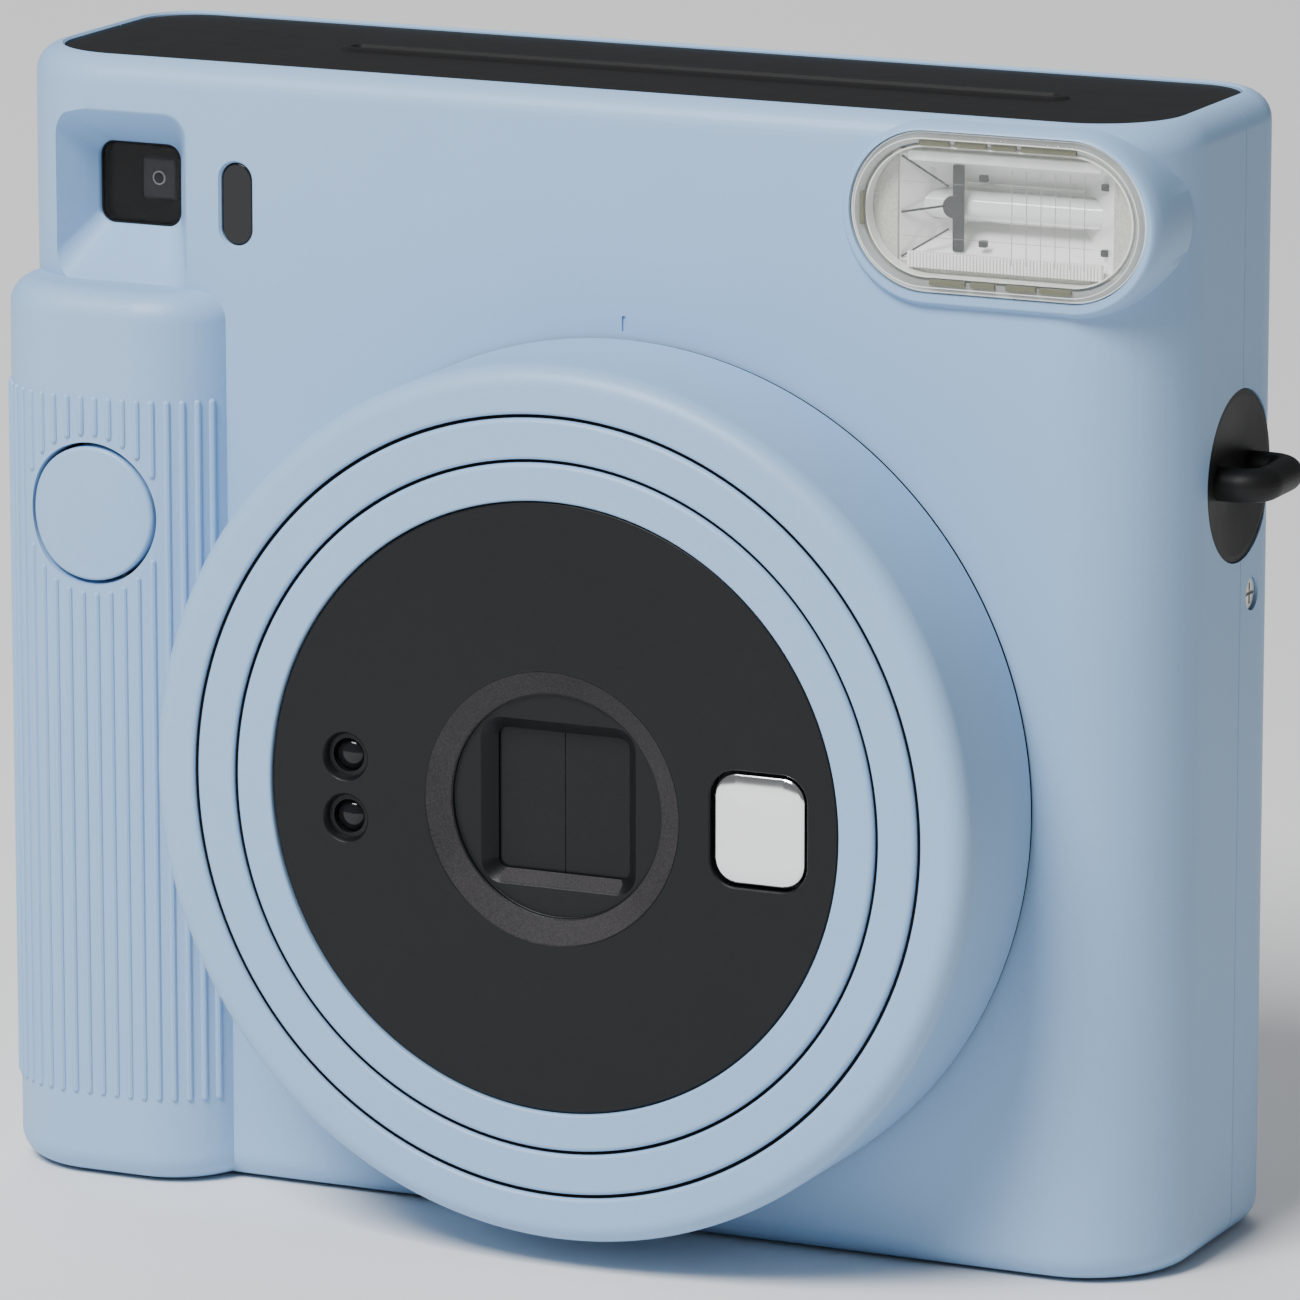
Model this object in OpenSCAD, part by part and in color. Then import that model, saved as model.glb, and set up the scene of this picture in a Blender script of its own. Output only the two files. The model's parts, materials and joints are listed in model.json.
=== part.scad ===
// Instant camera for square film: body shells, turning lens ring with two telescoping
// barrels, lens barrier, film chamber with its roller drive, film door, battery bay,
// flash, viewfinder and release button.
// Z is up, the lens looks along -Y and the origin is the middle of the flat base.

/* [Body] */
// Width across the two side walls
body_w = 130.7; // [128:0.1:134]
// Height from the base to the top panel
body_h = 118.6; // [117:0.1:122]
// Depth of the body without the lens and the film door
body_d = 36.5; // [36:0.1:38]
// Wall thickness of the moulded covers
wall = 2; // [1.8:0.1:2.2]
// Radius of the two upright front corners
front_corner_r = 12; // [10:0.5:13]
// Radius of the two upright rear corners
rear_corner_r = 9; // [8:0.5:9.5]
// Radius along the top and bottom edges
edge_r = 3; // [2.5:0.1:3.2]
// Depth of the line where the two covers meet, from the front face
parting_depth = 22.1; // [21.8:0.1:22.6]
// Gap between neighbouring pieces that only lie next to each other
gap = 0.3; // [0.2:0.05:0.35]

/* [Grip] */
// How far the grip stands out in front of the body
grip_rise = 5.5; // [5:0.1:6]
// Height of the top of the grip
grip_top = 95; // [93:0.5:96]
// Radius of the release button
button_r = 7.1; // [6.5:0.1:7.4]
// Height of the middle of the release button
button_z = 71.5; // [70:0.5:73]
// Travel of the release button
button_travel = 1.2; // [0.8:0.1:1.4]

/* [Lens] */
// Sideways place of the lens axis
lens_x = 6.7; // [6:0.1:8]
// Height of the lens axis
lens_z = 48.4; // [48:0.1:49]
// Outside radius of the turning ring
ring_r = 45.3; // [44.5:0.1:45.6]
// How far the ring stands out in front of the body
ring_rise = 17.7; // [17:0.1:18.5]
// Outside radius of the middle barrel
middle_r = 39.9; // [39:0.1:40.2]
// Outside radius of the inner barrel
inner_r = 35.4; // [35:0.1:35.8]
// Radius of the dark lens face
face_r = 31.5; // [31:0.1:32]

/* [Flash] */
// Length of the flash cover
flash_w = 31.8; // [30:0.1:33]
// Height of the flash cover
flash_h = 16.3; // [15:0.1:16.6]
// Sideways place of the middle of the flash
flash_x = 47.8; // [47:0.1:48.5]
// Height of the middle of the flash
flash_z = 109.15; // [108.8:0.05:109.4]

/* [Film] */
// Clear width inside the film chamber
chamber_w = 79; // [78:0.5:80]
// Clear height inside the film chamber
chamber_h = 92; // [91:0.5:93]
// Length of the slot that the film leaves by
slot_w = 79; // [76:0.5:80]
// Radius of the film rollers
roller_r = 3; // [2.8:0.1:3]

/* [Hidden] */
$fn = 72;
eps = 0.01;

front_y = -body_d / 2;
rear_y = body_d / 2;
side_x = body_w / 2;
part_y = front_y + parting_depth;
ring_y = front_y - ring_rise;

// Plan places of the four upright corners, each with its radius
corners = [
    [-side_x + front_corner_r, front_y + front_corner_r, front_corner_r],
    [side_x - front_corner_r, front_y + front_corner_r, front_corner_r],
    [side_x - rear_corner_r, rear_y - rear_corner_r, rear_corner_r],
    [-side_x + rear_corner_r, rear_y - rear_corner_r, rear_corner_r]];

// Top panel, set into both covers
panel_inset = 2.95;
panel_t = 2;
panel_ledge = 2;
panel_z = body_h - panel_t;

// Grip columns in plan: the outer corner, the same corner further back, the inner edge
grip_y = front_y - grip_rise;
grip_edge_r = 3;
grip_columns = [
    [-54.65, grip_y + 10.7, 10.7],
    [-54.65, front_y + 11, 10.7],
    [-47.6, grip_y + 10, 10]];

// Release button
button_x = -51.9;
button_back_y = grip_y + 3.4;
button_foot_y = button_back_y + 1.2;
switch_y = -16.2;

// Lens ring and barrels, along the lens axis
ring_wall_r = middle_r + 0.5;
ring_neck_r = 42.5;
ring_fit = 0.06;
retainer_t = 1.6;
barrel_back_y = -8.2;
barrel_wall = 2;
middle_bore_r = inner_r + 0.4;
face_front_y = ring_y + 0.35;
face_back_y = ring_y + 3.4;
face_plate_y = ring_y + 1.95;
cone_outer_r = 14.3;
cone_inner_r = 11.6;
barrier_w = 14.6;
barrier_frame_w = 17.2;
blade_y = face_back_y + gap;
blade_t = 0.6;
blade_w = 8.4;
blade_h = 17.6;
plate_y = blade_y + blade_t + gap;
plate_t = 1.2;
cell_r = 8;
cell_back_y = plate_y + 8;
mirror_x = 22.8;
mirror_w = 9.9;
mirror_h = 11.3;
sensor_x = -23.2;
sensor_pitch = 6.4;
sensor_r = 2.45;
shutter_y = cell_back_y + gap;
shutter_t = 0.4;
pivot_x = 13;
pivot_r = 1;

// Viewfinder: a funnel in the front cover that narrows to the window
finder_depth = 6.5;
finder_mouth = [-59.9, 94.4, -43.3, 112.9];
finder_hole = [-56.6, 100.1, -47.1, 108.8];
finder_x = (finder_hole[0] + finder_hole[2]) / 2;
finder_z = (finder_hole[1] + finder_hole[3]) / 2;
finder_window_y = front_y + finder_depth;

// Light sensor window
light_x = -37.4;
light_z = 104.25;
light_w = 3.6;
light_h = 8.7;

// Flash
flash_rise = 1.6;
flash_shell = 1.2;
flash_back_y = front_y + 8;
reflector_w = 24.6;
reflector_h = 11.6;
tube_r = 1.5;

// Strap lugs, one disc with a loop on each side
lug_y = front_y + 21.5;
lug_z = 80.5;
lug_plate_r = 8.8;
loop_bar_r = 1.75;
loop_reach = 3.9;
loop_half = 4.6;
loop_bend = 2.2;

// Film chamber and roller drive
chamber_x0 = lens_x - chamber_w / 2;
chamber_x1 = lens_x + chamber_w / 2;
chamber_z0 = 9;
chamber_z1 = chamber_z0 + chamber_h;
chassis_wall = 1.6;
chassis_y = -5;
film_y = -3;
chassis_back_y = 15.6;
image_w = 62;
film_path_y = 0.15;
roller_z = 109.6;
roller_half = 37.6;
roller_space = 2 * roller_r + 0.3;
journal_r = 1.5;
journal_fit = 0.06;
bracket_x = lens_x + roller_half + 0.5;
bracket_t = 1.8;
gear_x = chamber_x1 + chassis_wall + 0.5;
gear_w = 2.4;
roller_teeth = 14;
idler_teeth = 28;
pinion_teeth = 12;
module_mm = roller_space / roller_teeth;
drive_y = film_path_y - roller_space / 2;
press_y = film_path_y + roller_space / 2;
motor_y = -11;
motor_z = 95.6;
motor_r = 4.2;
motor_l = 17;
post_r = 2.5;
posts = [[-38, 96.5], [54.6, 89.5], [-38, 7], [52, 7]];

// Place of the idler, one mesh distance from the drive roller and from the pinion
far_mesh = module_mm * (roller_teeth + idler_teeth) / 2;
near_mesh = module_mm * (pinion_teeth + idler_teeth) / 2;
train = [motor_y - drive_y, motor_z - roller_z];
train_l = norm(train);
along = (far_mesh * far_mesh - near_mesh * near_mesh + train_l * train_l) / (2 * train_l);
aside = sqrt(max(0, far_mesh * far_mesh - along * along));
idler_y = drive_y + (along * train.x - aside * train.y) / train_l;
idler_z = roller_z + (along * train.y + aside * train.x) / train_l;

// Film door on the back
door_x0 = -34.4;
door_x1 = 55.2;
door_z0 = 8;
door_z1 = 112;
door_rise = 3.3;
door_in_y = rear_y - wall;
door_out_y = rear_y + door_rise;
door_hinge_x = 57.7;
door_hinge_y = rear_y + 0.95;
knuckle_r = 2.2;
pin_r = 0.8;
pin_fit = 0.05;
bay_pin_r = 0.6;
door_knuckles = [[20, 34], [84, 98]];
counter_x = 40;
counter_z = 22;
counter_r = 6;
counter_pin_r = 0.8;
counter_eye_r = 1.7;
counter_eye_z = 3.7;
window_w = 6;
window_h = 24;
window_x = -14;
window_z = 60;
latch_x = -37;
latch_z = 60;
latch_w = 3;
latch_l = 12;
latch_travel = 3;
latch_spring_l = 8;

// Battery bay behind the grip
bay_x0 = -57.4;
bay_x1 = -39.8;
bay_z0 = 9;
bay_z1 = 73;
bay_hinge_x = -59.1;
bay_hinge_y = rear_y - 0.3;
bay_knuckle_r = 1.4;
bay_door_rise = 0.9;
bay_knuckles = [[18, 28], [54, 64]];
cell_radius = 7.8;
cell_l = 27;
cell_x = (bay_x0 + bay_x1) / 2;
cell_y = 7.2;
cell_z0 = 14;
cell_gap = 0.6;

function edge_profile(r, h, e, n = 6) = concat(
    [[0, 0]],
    [for (i = [0:n]) [r - e + e * sin(90 * i / n), e - e * cos(90 * i / n)]],
    [for (i = [0:n]) [r - e + e * cos(90 * i / n), h - e + e * sin(90 * i / n)]],
    [[0, h]]);

// Upright column with rounded top and bottom edges
module column(r, h, e) {
    rotate_extrude($fn = 40) polygon(edge_profile(r, h, e));
}

// Whole outer shape of the body, without the grip
module body_solid() {
    hull() for (c = corners) translate([c[0], c[1], 0]) column(c[2], body_h, edge_r);
}

// Grip bulge, a rounded block in front of the outer edge
module grip_solid() {
    hull() for (c = grip_columns) translate([c[0], c[1], 0]) column(c[2], grip_top, grip_edge_r);
}

// Plan outline of the body, moved in by the inset
module body_plan(inset) {
    for (c = corners) translate([c[0], c[1]]) circle(c[2] - inset);
    translate([-side_x + front_corner_r, front_y + inset])
        square([body_w - 2 * front_corner_r, body_d / 2]);
    translate([-side_x + rear_corner_r, -eps])
        square([body_w - 2 * rear_corner_r, body_d / 2 - inset + eps]);
    translate([-side_x + inset, front_y + front_corner_r])
        square([body_w - 2 * inset, body_d - front_corner_r - rear_corner_r]);
}

// Plan outline of the grip, moved in by the wall
module grip_plan(inset) {
    for (c = grip_columns) translate([c[0], c[1]]) circle(c[2] - inset);
    translate([grip_columns[0][0], grip_y + inset])
        square([grip_columns[2][0] - grip_columns[0][0], 20]);
    translate([grip_columns[0][0] - grip_columns[0][2] + inset, grip_columns[0][1]])
        square([12, 12]);
}

// Cylinder along Y between two depths
module ycyl(r, y0, y1) {
    translate([0, y0, 0]) rotate([-90, 0, 0]) cylinder(r = r, h = y1 - y0);
}

// Cylinder along X between two places
module xcyl(r, x0, x1) {
    translate([x0, 0, 0]) rotate([0, 90, 0]) cylinder(r = r, h = x1 - x0);
}

// Piece placed on the lens axis
module on_lens_axis() {
    translate([lens_x, 0, lens_z]) children();
}

// Turned piece on the lens axis from an outline of radius and depth
module turned(outline) {
    on_lens_axis() rotate([-90, 0, 0]) rotate_extrude($fn = 144) polygon(outline);
}

// Plate with rounded corners, upright, between two depths
module upright_plate(x0, z0, x1, z1, r, y0, y1) {
    translate([0, y0, 0]) rotate([90, 0, 0]) mirror([0, 0, 1]) linear_extrude(y1 - y0) {
        translate([x0 + r, z0]) square([x1 - x0 - 2 * r, z1 - z0]);
        translate([x0, z0 + r]) square([x1 - x0, z1 - z0 - 2 * r]);
        for (x = [x0 + r, x1 - r], z = [z0 + r, z1 - r]) translate([x, z]) circle(r);
    }
}

// Long plate with half-round ends, lying along X or along Z
module stadium(w, h, y0, y1) {
    r = min(w, h) / 2;
    dx = w / 2 - r;
    dz = h / 2 - r;
    translate([-dx - (dx > 0 ? 0 : r), y0, -dz - (dz > 0 ? 0 : r)])
        cube([dx > 0 ? 2 * dx : 2 * r, y1 - y0, dz > 0 ? 2 * dz : 2 * r]);
    for (s = [-1, 1]) translate([s * dx, 0, s * dz]) ycyl(r, y0, y1);
}

// Coil spring along Z, swept as one ring after another
module coil_spring(r, wire_r, l, turns) {
    steps = turns * 12;
    sides = 6;
    rings = [for (i = [0:steps]) let (a = 360 * turns * i / steps)
        [for (j = [0:sides - 1]) let (b = 360 * j / sides)
            [(r + wire_r * cos(b)) * cos(a), (r + wire_r * cos(b)) * sin(a),
                wire_r + (l - 2 * wire_r) * i / steps + wire_r * sin(b)]]];
    skin = [for (i = [0:steps - 1], j = [0:sides - 1])
        let (k = (j + 1) % sides)
        [i * sides + j, i * sides + k, (i + 1) * sides + k, (i + 1) * sides + j]];
    polyhedron(
        points = [for (ring = rings) each ring],
        faces = concat(skin, [[for (j = [sides - 1:-1:0]) j]],
            [[for (j = [0:sides - 1]) steps * sides + j]]));
}

// Tooth outline with straight flanks either side of the pitch circle
function gear_outline(n) =
    let (pitch = module_mm * n / 2, play = 0.08,
        half = 90 / n - play / pitch * 57.3,
        root = pitch - 1.15 * module_mm, tip = pitch + 0.8 * module_mm,
        at_root = half + 0.30 * module_mm / pitch * 57.3,
        at_tip = half - 0.36 * module_mm / pitch * 57.3)
    [for (i = [0:n - 1], p = [[root, -at_root], [pitch, -half], [tip, -at_tip],
        [tip, at_tip], [pitch, half], [root, at_root]])
        let (a = 360 * i / n + p[1]) [p[0] * cos(a), p[0] * sin(a)]];

// Gear with its axis along X; the angle is counted from +Y towards +Z
module x_gear(n, phase, x0, w) {
    translate([x0, 0, 0]) rotate([90, 0, 90]) rotate([0, 0, phase])
        linear_extrude(w) polygon(gear_outline(n));
}

// Turn of a gear so that it meshes with a neighbour already turned by phase
function mesh_phase(from, to, n_from, n_to, phase) =
    let (a = atan2(to.y - from.y, to.x - from.x))
    a + 180 - (phase - a) * n_from / n_to + 180 / n_to;

drive_at = [drive_y, roller_z];
press_at = [press_y, roller_z];
idler_at = [idler_y, idler_z];
motor_at = [motor_y, motor_z];
press_phase = mesh_phase(drive_at, press_at, roller_teeth, roller_teeth, 0);
idler_phase = mesh_phase(drive_at, idler_at, roller_teeth, idler_teeth, 0);
pinion_phase = mesh_phase(idler_at, motor_at, idler_teeth, pinion_teeth, idler_phase);

// ---- covers ----

module panel_pocket() {
    translate([0, 0, panel_z]) linear_extrude(panel_t + 1) body_plan(panel_inset);
    translate([0, 0, panel_z - wall - 1])
        linear_extrude(wall + 2) body_plan(panel_inset + panel_ledge);
}

module body_hollow() {
    translate([0, 0, wall]) linear_extrude(panel_z - 2 * wall + 0.5) body_plan(wall);
}

module lug_recess() {
    for (s = [-1, 1]) translate([s * side_x, lug_y, lug_z]) xcyl(lug_plate_r + 0.1, -1.2, 1.2);
}

module finder_funnel() {
    hull() {
        upright_plate(finder_mouth[0], finder_mouth[1], finder_mouth[2], finder_mouth[3],
            2.4, front_y - 1, front_y + 0.1, $fn = 32);
        upright_plate(finder_hole[0], finder_hole[1], finder_hole[2], finder_hole[3],
            1.6, finder_window_y - 0.1, finder_window_y, $fn = 32);
    }
}

// Low mound that the flash cover sits on
module flash_mound() {
    translate([flash_x, flash_back_y, flash_z - 0.4]) hull()
        for (s = [-1, 1]) translate([s * (flash_w - flash_h) / 2, 0, 0]) rotate([90, 0, 0])
            cylinder(r1 = 9.4, r2 = flash_h / 2 + 0.6, h = 8.8, $fn = 40);
}

module front_cover() {
    color("lightsteelblue") difference() {
        union() {
            intersection() {
                body_solid();
                translate([-side_x - 1, front_y - 1, -1])
                    cube([body_w + 2, parting_depth + 1, body_h + 2]);
            }
            grip_solid();
            flash_mound();
        }
        difference() {
            union() {
                body_hollow();
                translate([0, 0, wall]) linear_extrude(grip_top - 2 * wall) grip_plan(wall);
            }
            // Walls around the viewfinder funnel
            translate([-side_x, front_y, finder_mouth[1] - wall])
                cube([finder_mouth[2] + wall + side_x, finder_depth + wall,
                    finder_mouth[3] - finder_mouth[1] + 2 * wall]);
            // Bosses for the screws that hold the chassis
            for (p = posts) translate([p[0], 0, p[1]]) ycyl(post_r + 1, front_y, -14);
        }
        finder_funnel();
        upright_plate(finder_hole[0], finder_hole[1], finder_hole[2], finder_hole[3],
            1.6, finder_window_y - 0.2, finder_window_y + wall + 1);
        panel_pocket();
        lug_recess();
        on_lens_axis() ycyl(ring_neck_r + ring_fit, front_y - 1, front_y + wall + 1);
        translate([button_x, 0, button_z]) ycyl(button_r + gap, grip_y - 1, grip_y + 6);
        translate([light_x, 0, light_z]) stadium(light_w, light_h, front_y - 1, front_y + 3);
        translate([flash_x, 0, flash_z])
            stadium(flash_w + 0.1, flash_h + 0.1, front_y - 3, front_y + 2);
        translate([flash_x - reflector_w / 2 - 0.2, front_y, flash_z - reflector_h / 2 - 0.2])
            cube([reflector_w + 0.4, flash_back_y - front_y + 0.3, reflector_h + 0.4]);
        for (p = posts) translate([p[0], 0, p[1]]) ycyl(0.8, front_y + 1.2, -13);
    }
}

// Knuckles of a cover, between and outside the two knuckles of its door
module fixed_knuckles(x, y, r, moving) {
    spans = [[moving[0][0] - 8, moving[0][0] - gap], [moving[0][1] + gap, moving[0][1] + 8],
        [moving[1][0] - 8, moving[1][0] - gap], [moving[1][1] + gap, moving[1][1] + 8]];
    for (k = spans) translate([x, y, k[0]]) cylinder(r = r, h = k[1] - k[0]);
}

module rear_cover() {
    color("lightsteelblue") difference() {
        union() {
            difference() {
                intersection() {
                    body_solid();
                    translate([-side_x - 1, part_y, -1])
                        cube([body_w + 2, body_d - parting_depth + 1, body_h + 2]);
                }
                body_hollow();
                // Doorway of the film chamber and the trough for its hinge
                upright_plate(door_x0 - gap, door_z0 - gap, door_x1 + gap, door_z1 + gap,
                    4, door_in_y - 1, rear_y + 1);
                for (k = door_knuckles) translate([door_hinge_x, door_hinge_y, k[0] - gap])
                    cylinder(r = knuckle_r + gap, h = k[1] - k[0] + 2 * gap);
                // Doorway of the battery bay and the trough for its hinge
                upright_plate(bay_x0 - gap, bay_z0 - gap, bay_x1 + gap, bay_z1 + gap,
                    1.5, door_in_y - 1, rear_y + 1);
                for (k = bay_knuckles) translate([bay_hinge_x, bay_hinge_y, k[0] - gap])
                    cylinder(r = bay_knuckle_r + gap, h = k[1] - k[0] + 2 * gap);
            }
            fixed_knuckles(door_hinge_x, door_hinge_y, knuckle_r, door_knuckles);
            fixed_knuckles(bay_hinge_x, bay_hinge_y, bay_knuckle_r, bay_knuckles);
        }
        translate([door_hinge_x, door_hinge_y, door_z0]) cylinder(r = pin_r, h = door_z1 - door_z0);
        translate([bay_hinge_x, bay_hinge_y, bay_z0 + 1]) cylinder(r = bay_pin_r, h = bay_z1 - bay_z0 - 2);
        panel_pocket();
        lug_recess();
        upright_plate(finder_hole[0] - 1.5, finder_hole[1] - 1.5, finder_hole[2] + 1.5,
            finder_hole[3] + 1.5, 2, door_in_y - 1, rear_y + 1);
        translate([latch_x - latch_w / 2 - gap, door_in_y - 1, latch_z - latch_l / 2 - gap])
            cube([latch_w + 2 * gap, wall + 2, latch_l + latch_travel + 2 * gap]);
        for (s = [-1, 1]) translate([s * side_x, front_y + 25.4, 67.6]) {
            xcyl(1.75, -0.9, 0.9);
            xcyl(0.85, -3, 3);
        }
    }
}

module top_panel() {
    color("#323235") difference() {
        translate([0, 0, panel_z]) linear_extrude(panel_t) body_plan(panel_inset + 0.12);
        translate([lens_x, film_path_y, 0]) {
            for (s = [-1, 1]) translate([s * (slot_w / 2 - 0.8), 0, panel_z - 1])
                cylinder(r = 0.8, h = panel_t + 2);
            translate([-slot_w / 2 + 0.8, -0.8, panel_z - 1])
                cube([slot_w - 1.6, 1.6, panel_t + 2]);
        }
    }
}

// Dished disc in the side wall with a round loop that lies flat
module strap_lug(s) {
    straight = loop_half - loop_bend;
    color("#28282a") translate([s * side_x, lug_y, lug_z]) mirror([s < 0 ? 1 : 0, 0, 0]) {
        rotate([0, 90, 0]) rotate_extrude() polygon([[0, -1.2], [lug_plate_r, -1.2],
            [lug_plate_r, -0.15], [lug_plate_r - 0.6, -0.15], [2, -0.8], [0, -0.8]]);
        for (e = [-1, 1]) {
            translate([0, e * loop_half, 0]) xcyl(loop_bar_r, -1.1, loop_reach - loop_bend);
            translate([loop_reach - loop_bend, e * straight, 0]) rotate([0, 0, e < 0 ? -90 : 0])
                rotate_extrude(angle = 90) translate([loop_bend, 0]) circle(loop_bar_r);
        }
        translate([loop_reach, 0, 0]) ycyl(loop_bar_r, -straight, straight);
    }
}

module cover_screws() {
    color("silver") for (s = [-1, 1])
        translate([s * side_x, front_y + 25.4, 67.6]) mirror([s < 0 ? 1 : 0, 0, 0]) {
            difference() {
                xcyl(1.6, -0.9, -0.3);
                for (a = [0, 90]) rotate([a, 0, 0])
                    translate([-0.6, -1.1, -0.2]) cube([1, 2.2, 0.4]);
            }
            xcyl(0.8, -5, -0.9);
        }
}

// ---- chassis and film chamber ----

module chassis() {
    color("#26272a") difference() {
        union() {
            // Chamber box, open to the back
            translate([chamber_x0 - chassis_wall, chassis_y, chamber_z0 - chassis_wall])
                cube([chamber_w + 2 * chassis_wall, chassis_back_y - chassis_y,
                    chamber_h + 2 * chassis_wall]);
            // Brackets that carry the rollers
            for (s = [-1, 1])
                translate([lens_x + s * (bracket_x - lens_x + bracket_t / 2) - bracket_t / 2,
                    -8, chamber_z1 - 1])
                    cube([bracket_t, 15, roller_z + 4.8 - chamber_z1]);
            // Arm that carries the idler stud
            translate([bracket_x, -14, chamber_z1 - 13]) cube([bracket_t, 10, 14]);
            // Legs that reach the bosses of the front cover
            for (p = posts) translate([p[0], 0, p[1]]) ycyl(post_r, -13.9, chassis_y + 1);
            for (p = posts) translate([min(p[0], lens_x) - 3, chassis_y, p[1] - 3])
                cube([abs(p[0] - lens_x) + 6, film_y - chassis_y, 6.5]);
        }
        translate([chamber_x0, film_y, chamber_z0]) cube([chamber_w, 40, chamber_h]);
        // Image frame
        translate([lens_x - image_w / 2, chassis_y - 1, lens_z - image_w / 2])
            cube([image_w, 4, image_w]);
        // Way out for the film
        translate([chamber_x0 + 1, film_path_y - 1.2, chamber_z1 - 1])
            cube([chamber_w - 2, 2.4, 4]);
        // Roller bearings
        for (y = [drive_y, press_y]) translate([lens_x, y, roller_z])
            xcyl(journal_r + journal_fit, -bracket_x, bracket_x);
        // Hole for the motor's nose and for the idler stud
        translate([bracket_x - 1, motor_y, motor_z]) xcyl(2.2, 0, 4);
        for (p = posts) translate([p[0], 0, p[1]]) ycyl(0.9, -15, chassis_y + 3);
    }
    // Stud of the idler gear
    color("silver") translate([bracket_x + bracket_t - eps, idler_y, idler_z])
        xcyl(1, 0, gear_x + gear_w + 0.5 - bracket_x - bracket_t);
}

module chassis_screws() {
    color("silver") for (p = posts) translate([p[0], 0, p[1]]) {
        ycyl(0.75, front_y + 1.4, chassis_y + 2);
        ycyl(1.7, chassis_y + 2, chassis_y + 3);
    }
}

// Square baffle from the image frame towards the shutter
module light_tunnel() {
    color("#1c1c1e") on_lens_axis() rotate([-90, 0, 0]) rotate([0, 0, 45]) difference() {
        translate([0, 0, -19.6]) cylinder(r1 = 18.5, r2 = 40.5, h = 14.5, $fn = 4);
        translate([0, 0, -19.8]) cylinder(r1 = 17.0, r2 = 39.4, h = 14.9, $fn = 4);
    }
}

// ---- lens ----

module lens_ring() {
    e = 2.2;
    color("lightsteelblue") turned(concat(
        [[ring_wall_r, ring_y]],
        [for (i = [0:6]) [ring_r - e + e * sin(15 * i), ring_y + e - e * cos(15 * i)]],
        [[ring_r, front_y - gap], [ring_neck_r, front_y - gap],
            [ring_neck_r, front_y + wall + gap], [ring_wall_r, front_y + wall + gap]]));
}

module ring_retainer() {
    y0 = front_y + wall + gap;
    color("#26272a") turned([[ring_wall_r, y0], [ring_neck_r + 2, y0],
        [ring_neck_r + 2, y0 + retainer_t], [ring_wall_r, y0 + retainer_t]]);
}

module middle_barrel() {
    color("lightsteelblue") turned([[middle_bore_r, ring_y], [middle_r, ring_y],
        [middle_r, barrel_back_y], [middle_r - barrel_wall, barrel_back_y],
        [middle_r - barrel_wall, ring_y + 3], [middle_bore_r, ring_y + 3]]);
}

module inner_barrel() {
    w = inner_r - barrel_wall;
    color("lightsteelblue") turned([[face_r + 0.1, ring_y], [inner_r, ring_y],
        [inner_r, barrel_back_y - 2], [w, barrel_back_y - 2],
        [w, face_back_y + 1], [face_r - 1.5, face_back_y + 1],
        [face_r - 1.5, face_back_y], [face_r + 0.1, face_back_y]]);
}

module lens_face() {
    color("#2d2e31") difference() {
        turned([[0, face_plate_y], [cone_inner_r, face_plate_y],
            [cone_inner_r, face_plate_y - 0.25], [cone_outer_r, face_front_y],
            [face_r, face_front_y], [face_r, face_back_y], [0, face_back_y]]);
        on_lens_axis() {
            translate([-barrier_w / 2, ring_y, -barrier_w / 2])
                cube([barrier_w, 5, barrier_w]);
            translate([0, face_plate_y, 0]) rotate([-90, 0, 0]) rotate([0, 0, 45])
                cylinder(r1 = barrier_frame_w / sqrt(2), r2 = barrier_w / sqrt(2),
                    h = face_back_y - face_plate_y, $fn = 4);
            for (s = [-1, 1]) translate([sensor_x, 0, s * sensor_pitch / 2]) {
                ycyl(sensor_r, ring_y, face_front_y + 1.2);
                ycyl(sensor_r - 0.7, ring_y, ring_y + 5);
            }
        }
        upright_plate(lens_x + mirror_x - mirror_w / 2 - 0.1, lens_z - mirror_h / 2 - 0.1,
            lens_x + mirror_x + mirror_w / 2 + 0.1, lens_z + mirror_h / 2 + 0.1,
            2.5, ring_y, face_front_y + 1.4);
    }
}

module selfie_mirror() {
    color("white") upright_plate(lens_x + mirror_x - mirror_w / 2, lens_z - mirror_h / 2,
        lens_x + mirror_x + mirror_w / 2, lens_z + mirror_h / 2,
        2.4, face_front_y + 0.3, face_front_y + 1.4);
}

module sensor_lenses() {
    color("#101012") on_lens_axis() for (s = [-1, 1])
        translate([sensor_x, 0, s * sensor_pitch / 2]) ycyl(1.7, face_front_y + 1.3, face_back_y);
}

// One half of the lens barrier, to the left (-1) or the right (1) of the axis
module barrier(s) {
    color("#2b2c2f") on_lens_axis() translate([s > 0 ? 0.04 : -blade_w - 0.04, blade_y,
        -blade_h / 2]) cube([blade_w, blade_t, blade_h]);
}

module lens_cell() {
    color("#1f2022") difference() {
        on_lens_axis() ycyl(cell_r, plate_y, cell_back_y);
        on_lens_axis() {
            ycyl(5.6, plate_y - 1, plate_y + 2.6);
            ycyl(2.6, plate_y, cell_back_y + 1);
            ycyl(5.1, cell_back_y - 2.6, cell_back_y + 1);
        }
    }
}

// Plano-convex lens: flat at flat_y, with its domed side at dome_y
module lens_element(r, flat_y, dome_y, dome) {
    side = sign(dome_y - flat_y);
    turned(concat([[0, flat_y], [r, flat_y]],
        [for (i = [8:-1:0]) [r * i / 8, dome_y - side * dome * pow(i / 8, 2)]]));
}

module front_lens() {
    color("lightcyan") lens_element(5.5, plate_y + 2.5, plate_y + 0.2, 0.8);
}

module rear_lens() {
    color("lightcyan") lens_element(5, cell_back_y - 2.4, cell_back_y - 0.2, 0.6);
}

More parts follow.
